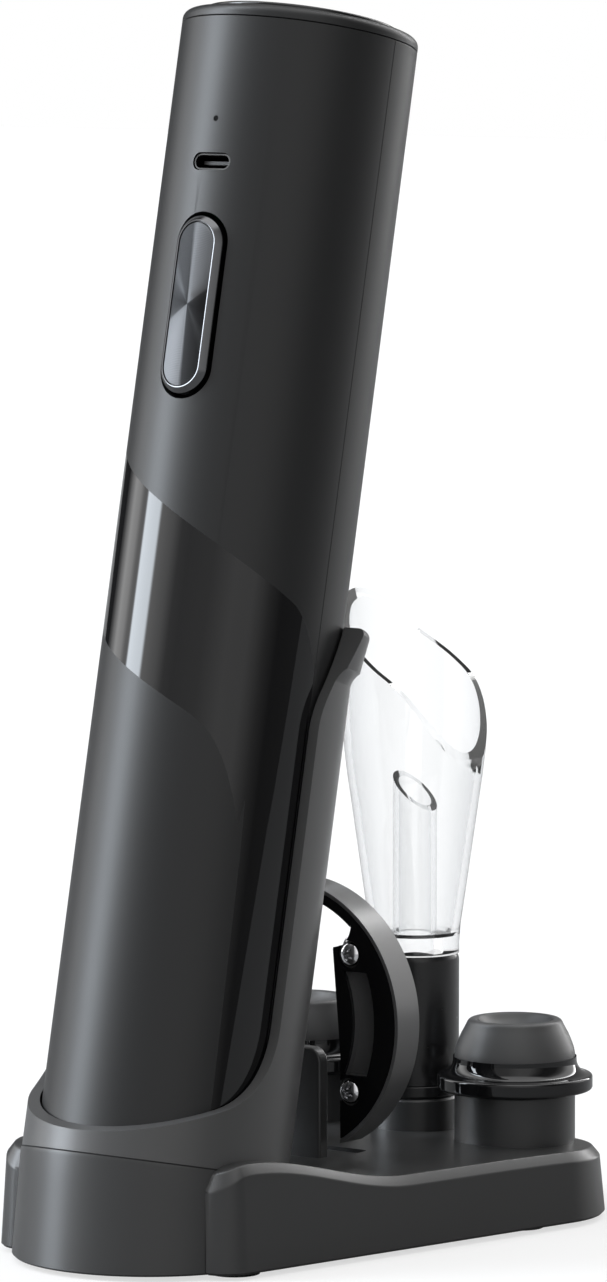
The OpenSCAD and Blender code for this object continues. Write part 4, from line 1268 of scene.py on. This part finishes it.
@dataclass
class Stopper:
    """One vacuum stopper in its socket. Heights are from the table."""

    side: str
    socket: float = 25.8
    collar_radius: float = 16.1
    cap_radius: float = 12.5
    plug_low: float = 5.6
    plug_radius: float = 9.9
    cap_low: float = 31.0
    cap_top: float = 40.5

    def collar(self, place: Matrix) -> bpy.types.Object:
        """The wide glossy collar with its flare."""
        z, r = self.socket, self.collar_radius
        profile = [(2.3, z + 0.02), (r - 0.9, z + 0.02), *arc((r - 0.7, z + 0.72), 0.7, -80, 0, 6)]
        profile += arc((r - 0.6, z + 2.6), 0.6, 0, 80, 6)
        profile += arc((self.cap_radius + 3.3, z + 6.2), 3.0, 262, 180, 14)
        profile += [(self.cap_radius + 0.26, z + 6.9), (self.cap_radius + 0.26, z + 1.8), (2.3, z + 1.8)]
        return ease(turned(f"stopper_collar_{self.side}", profile, place), 0)

    def cap(self, place: Matrix) -> bpy.types.Object:
        """The pump cap: a shoulder, a dished top and a dark hole in its middle."""
        z, top = self.cap_low, self.cap_top
        profile = [(10.9, z), (11.9, z), (self.cap_radius - 0.15, z + 0.3), (self.cap_radius, z + 1.0)]
        profile += [(12.45, z + 2.4), (12.2, z + 3.6), (11.7, z + 5.0), (11.1, z + 6.4), (10.5, z + 7.5)]
        profile += arc((8.7, top - 1.3), 1.3, 18, 150, 16)
        profile += [(7.5, top - 0.3), (6.9, top - 0.95), (6.1, top - 1.7), (4.9, top - 2.3), (3.4, top - 2.6)]
        profile += [(2.2, top - 2.7), (1.9, top - 2.9), (1.8, top - 3.6), (7.6, top - 3.6), (10.9, z + 2.4)]
        return ease(turned(f"stopper_pump_{self.side}", profile, place), 0)

    def plug(self, place: Matrix, finish: bpy.types.Material) -> bpy.types.Object:
        """The rubber plug with its sealing fins."""
        low, r, z = self.plug_low, self.plug_radius - 0.9, self.socket
        core = [(2.3, low), (r - 1.0, low), (r - 0.2, low + 0.5), (r, low + 1.2), (r, z), (2.3, z)]
        start = turned("core", core, Matrix.Identity(4), 96)
        mesh = start.data
        bpy.data.objects.remove(start)
        tree = shared_group("sealing_fins", fin_tree)
        values = {"Radius": self.plug_radius, "Depth": 0.9, "First": low + 2.5, "Step": 4.2, "Count": 4,
                  "Finish": finish}
        return ease(shape_piece(f"stopper_plug_{self.side}", tree, values, place, mesh), 0)

    def spring(self, place: Matrix, finishes: Finishes) -> None:
        """The pump's spring."""
        low, high, pitch = self.socket + 2.4, self.cap_top - 4.2, 2.4
        values = {"Radius": 6.2, "Wire": 0.45, "Low": low, "High": high, "Turns": (high - low) / pitch,
                  "Point": 0.001}
        tree = shared_group("helix_wire", helix_tree)
        obj = ease(shape_piece(f"stopper_coil_{self.side}", tree, values, place), 0)
        name = f"stopper_{self.side}"
        dressed(obj, finishes["worm_steel"], name, "worm_steel", f"{name}_spring")
        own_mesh(obj)

    def build(self, finishes: Finishes) -> None:
        """Makes and dresses the stopper's pieces."""
        place = upright_frame(*axis_of(f"stopper_{self.side}_collar").xy)
        name, pump = f"stopper_{self.side}", f"pump_cap_{self.side}"
        dressed(self.collar(place), finishes["gloss_black"], name, "gloss_black", f"{name}_collar")
        dressed(self.cap(place), finishes["stopper_plastic"], pump, "stopper_plastic", f"{name}_cap")
        rubber = finishes["soft_rubber"]
        dressed(self.plug(place, rubber), rubber, name, "soft_rubber", f"{name}_plug")
        self.spring(place, finishes)


# ---- The foil cutter ----


@dataclass
class FoilCutter:
    """The horseshoe cutter. Places are from its own middle, and depths behind its face."""

    radius: float = 28.5
    thick: float = 7.4
    bow: float = 2.9
    face: float = 1.0
    inset: float = 0.75
    screw_x: float = 16.0
    screw_z: float = 14.1

    def neck(self) -> list[Point]:
        """Outline of the gap that takes the bottle's neck, up to the inside of the bow."""
        half = [(13.9, -30.0), (13.9, -6.5), (12.0, 14.9), *arc((11.6, 20.2), 4.9, -84, -4, 12)]
        half += arc((0, 0), self.radius - self.bow, 50.5, 89, 20)
        return half + [(-x, z) for x, z in half[::-1]]

    def grips(self) -> list[list[Point]]:
        """Outlines of the two sunken bands at the sides."""
        outer, inner = arc((-8, 0), 30.4, -20.5, 20.5, 20), arc((-8, 0), 25.0, 25.2, -25.2, 20)
        right = outer + inner
        return [right, [(-x, z) for x, z in right[::-1]]]

    def blank(self, name: str, radius: float, near: float, far: float, place: Matrix) -> bpy.types.Object:
        """A horseshoe plate."""
        obj = prism(name, arc((0, 0), radius, 0, 360 - 360 / TURN, TURN - 1), near, far, place)
        return carve(obj, Cut.AWAY, prism("tool", self.neck(), -20, 20, place))

    def frame(self, place: Matrix) -> bpy.types.Object:
        """The satin frame, with a step for the face and the wheels' slots."""
        obj = self.blank("cutter_rim", self.radius, 0.0, self.thick, place)
        bed = arc((0, 0), self.radius - self.inset, 0, 357, 119)
        tools = [prism("tool", bed, -3, self.face + 0.05, place)]
        tools += [prism("tool", grip, -3, self.face + 1.5, place) for grip in self.grips()]
        turn = Matrix.Rotation(math.radians(-90), 4, "X")
        for x in (-self.screw_x, self.screw_x):
            for z in (-self.screw_z, self.screw_z):
                slot = [(0, 2.9), (4.8, 2.9), (4.8, 4.8), (0, 4.8)]
                tools.append(turned("tool", slot, place @ Matrix.Translation((x, 0, z)) @ turn, 48))
        carve(obj, Cut.AWAY, *tools)
        return ease(obj, 0.28, 3, 55)

    def plate(self, place: Matrix) -> bpy.types.Object:
        """The glossy face."""
        obj = self.blank("cutter_gloss_face", self.radius - self.inset - 0.12, 0.12, self.face, place)
        tools = [prism("tool", grip, -3, 3, place) for grip in self.grips()]
        for x in (-self.screw_x, self.screw_x):
            for z in (-self.screw_z, self.screw_z):
                tools.append(prism("tool", arc((x, z), 2.85, 0, 352, 44), -3, 3, place))
        carve(obj, Cut.AWAY, *tools)
        return ease(obj, 0.12, 2, 55)

    def screws(self, place: Matrix, finish: bpy.types.Material) -> bpy.types.Object:
        """The four screw heads."""
        spots = bpy.data.meshes.new("spots")
        corners = [(x, 0.85, z) for x in (-self.screw_x, self.screw_x) for z in (-self.screw_z, self.screw_z)]
        spots.from_pydata(corners, [], [])
        values = {"Head": 2.45, "Slot": 0.78, "Turn": 0.6, "Seed": 3, "Finish": finish}
        return ease(shape_piece("cutter_screw_heads", screw_tree(), values, place, spots), 0.06, 2, 50)

    def build(self, finishes: Finishes) -> None:
        """Makes and dresses the cutter's pieces."""
        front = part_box("cutter_frame")[0].y
        above_low, above_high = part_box("cutting_wheel_a")
        below_low, below_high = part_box("cutting_wheel_b")
        middle = (above_low.z + above_high.z + below_low.z + below_high.z) / 4
        place = upright_frame(0, front, middle)
        dressed(self.frame(place), finishes["cutter_rim"], "foil_cutter", "cutter_rim", "cutter_frame")
        dressed(self.plate(place), finishes["gloss_black"], "foil_cutter", "gloss_black", "cutter_face")
        steel = finishes["screw_steel"]
        dressed(self.screws(place, steel), steel, "foil_cutter", "screw_steel", "cutter_screws")


# ---- The studio ----


@dataclass
class Studio:
    """Camera, lights and floor. Directions are azimuths: 0 is the front, and 90 is the row's +X."""

    eye: tuple[float, float, float] = (0.9204, -1.2150, 0.2690)
    aim: tuple[float, float, float] = (0.0258, -0.0210, 0.1242)
    lens: float = 212.24
    peak: float = 13.0
    panels: tuple[tuple[float, float], ...] = (
        (-180, 0.3), (-140, 0.25), (-122, 0.04), (-104, 0.03), (-98, 0.4), (-91, 1.4), (-86, 2.6), (-76, 2.6),
        (-70, 1.5), (-65, 1.5), (-63, 13.0), (-45.5, 13.0), (-43, 2.1), (-27, 1.4), (-17, 0.6), (-7, 0.5),
        (20, 0.6), (43, 0.95), (63, 0.9), (80, 0.35), (92, 0.12), (118, 0.15), (134, 0.6), (150, 1.9),
        (170, 1.9), (180, 0.3),
    )
    dome: float = 2.1
    floor_half: float = 6.0
    paper: float = 0.25
    paper_glow: float = 0.66
    panel_foot: float = -12.0
    panel_top: float = 56.0

    def camera(self) -> None:
        """Puts the camera in place."""
        data = bpy.data.cameras.new("camera")
        data.lens, data.sensor_width, data.clip_start, data.clip_end = self.lens, 36.0, 0.01, 20.0
        obj = bpy.data.objects.new("camera", data)
        obj.location = self.eye
        obj.rotation_euler = (Vector(self.aim) - Vector(self.eye)).to_track_quat("-Z", "Y").to_euler()
        bpy.context.scene.collection.objects.link(obj)
        bpy.context.scene.camera = obj

    def floor(self) -> None:
        """A pale, flat floor."""
        half = self.floor_half
        mesh = bpy.data.meshes.new("floor")
        corners = [(-half, -half, 0), (half, -half, 0), (half, half, 0), (-half, half, 0)]
        mesh.from_pydata(corners, [], [(0, 1, 2, 3)])
        obj = piece_from("floor", mesh)
        material, g, shader = new_material("floor_paper")
        path = g.add("ShaderNodeLightPath").outputs
        seen = g.maths("MAXIMUM", path["Is Camera Ray"], path["Is Transmission Ray"])
        g.feed(shader, Base_Color=(*(self.paper,) * 3, 1.0), Emission_Color=(1.0, 1.0, 1.0, 1.0),
               Roughness=0.9, Emission_Strength=g.maths("MULTIPLY", seen, self.paper_glow),
               Specular_IOR_Level=0.1)
        mesh.materials.append(material)

    def world(self) -> None:
        """A dim room with tall soft panels round the object, in front of a white backdrop."""
        world = bpy.data.worlds.new("studio")
        world.use_nodes = True
        g = Graph(world.node_tree)
        back = next(n for n in world.node_tree.nodes if n.type == "BACKGROUND")
        way = g.add("ShaderNodeTexCoord").outputs["Generated"]
        parts = g.feed(g.add("ShaderNodeSeparateXYZ"), Vector=way).outputs
        azimuth = g.maths("ARCTAN2", parts["X"], g.maths("MULTIPLY", parts["Y"], -1.0))
        ramp = g.add("ShaderNodeValToRGB")
        stops = ramp.color_ramp.elements
        for place, level in self.panels:
            at, tone = place / 360 + 0.5, level / self.peak
            stop = stops[0] if at == 0 else stops[1] if at == 1 else stops.new(at)
            cool = 0.93 if level > 3 else 1.0
            stop.color = (tone * cool * cool, tone * cool, tone, 1.0)
        g.put(ramp.inputs[0], g.maths("ADD", g.maths("DIVIDE", azimuth, math.tau), 0.5))
        height = g.maths("MULTIPLY", g.maths("ARCSINE", parts["Z"]), 180 / math.pi)
        low = g.feed(g.add("ShaderNodeMapRange"), Value=height, From_Min=self.panel_foot - 6,
                     From_Max=self.panel_foot)
        high = g.feed(g.add("ShaderNodeMapRange"), Value=height, From_Min=self.panel_top,
                      From_Max=self.panel_top + 10, To_Min=1.0, To_Max=0.0)
        inside = g.maths("MULTIPLY", low.outputs[0], high.outputs[0])
        room = g.add("ShaderNodeMix", data_type="RGBA")
        g.put(room.inputs["Factor"], inside)
        g.put(room.inputs[6], (*(self.dome / self.peak,) * 3, 1.0))
        g.put(room.inputs[7], ramp.outputs[0])
        path = g.add("ShaderNodeLightPath").outputs
        seen = g.maths("MAXIMUM", path["Is Camera Ray"], path["Is Transmission Ray"])
        final = g.add("ShaderNodeMix", data_type="RGBA")
        g.put(final.inputs["Factor"], seen)
        g.put(final.inputs[6], room.outputs[2])
        clear = g.maths("SUBTRACT", 1.0, g.maths("MULTIPLY", path["Is Transmission Ray"], 0.07))
        g.put(final.inputs[7], g.vector(*(g.maths("DIVIDE", clear, self.peak),) * 3))
        g.put(back.inputs["Color"], final.outputs[2])
        g.feed(back, Strength=self.peak)
        bpy.context.scene.world = world

    def build(self) -> None:
        """Sets the whole studio up."""
        bpy.context.scene.view_settings.view_transform = "Standard"
        self.camera()
        self.world()
        self.floor()


def main() -> None:
    """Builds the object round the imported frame."""
    logging.basicConfig(level=logging.INFO, format="%(name)s: %(message)s")
    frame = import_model()
    Studio().build()
    lean = lean_frame(frame)
    tilt = -lean.to_euler().x
    opener = Opener()
    centre = lean @ Vector((0, -opener.radius - opener.button_out, opener.button_at))
    finishes = Finishes(centre, tilt)
    finishes.dress_frame(frame)
    Stand().build(lean, finishes)
    opener.build(lean, finishes)
    Pourer().build(finishes)
    for side in ("right", "left"):
        Stopper(side).build(finishes)
    FoilCutter().build(finishes)
    bpy.context.view_layer.update()


if __name__ == "__main__":
    main()
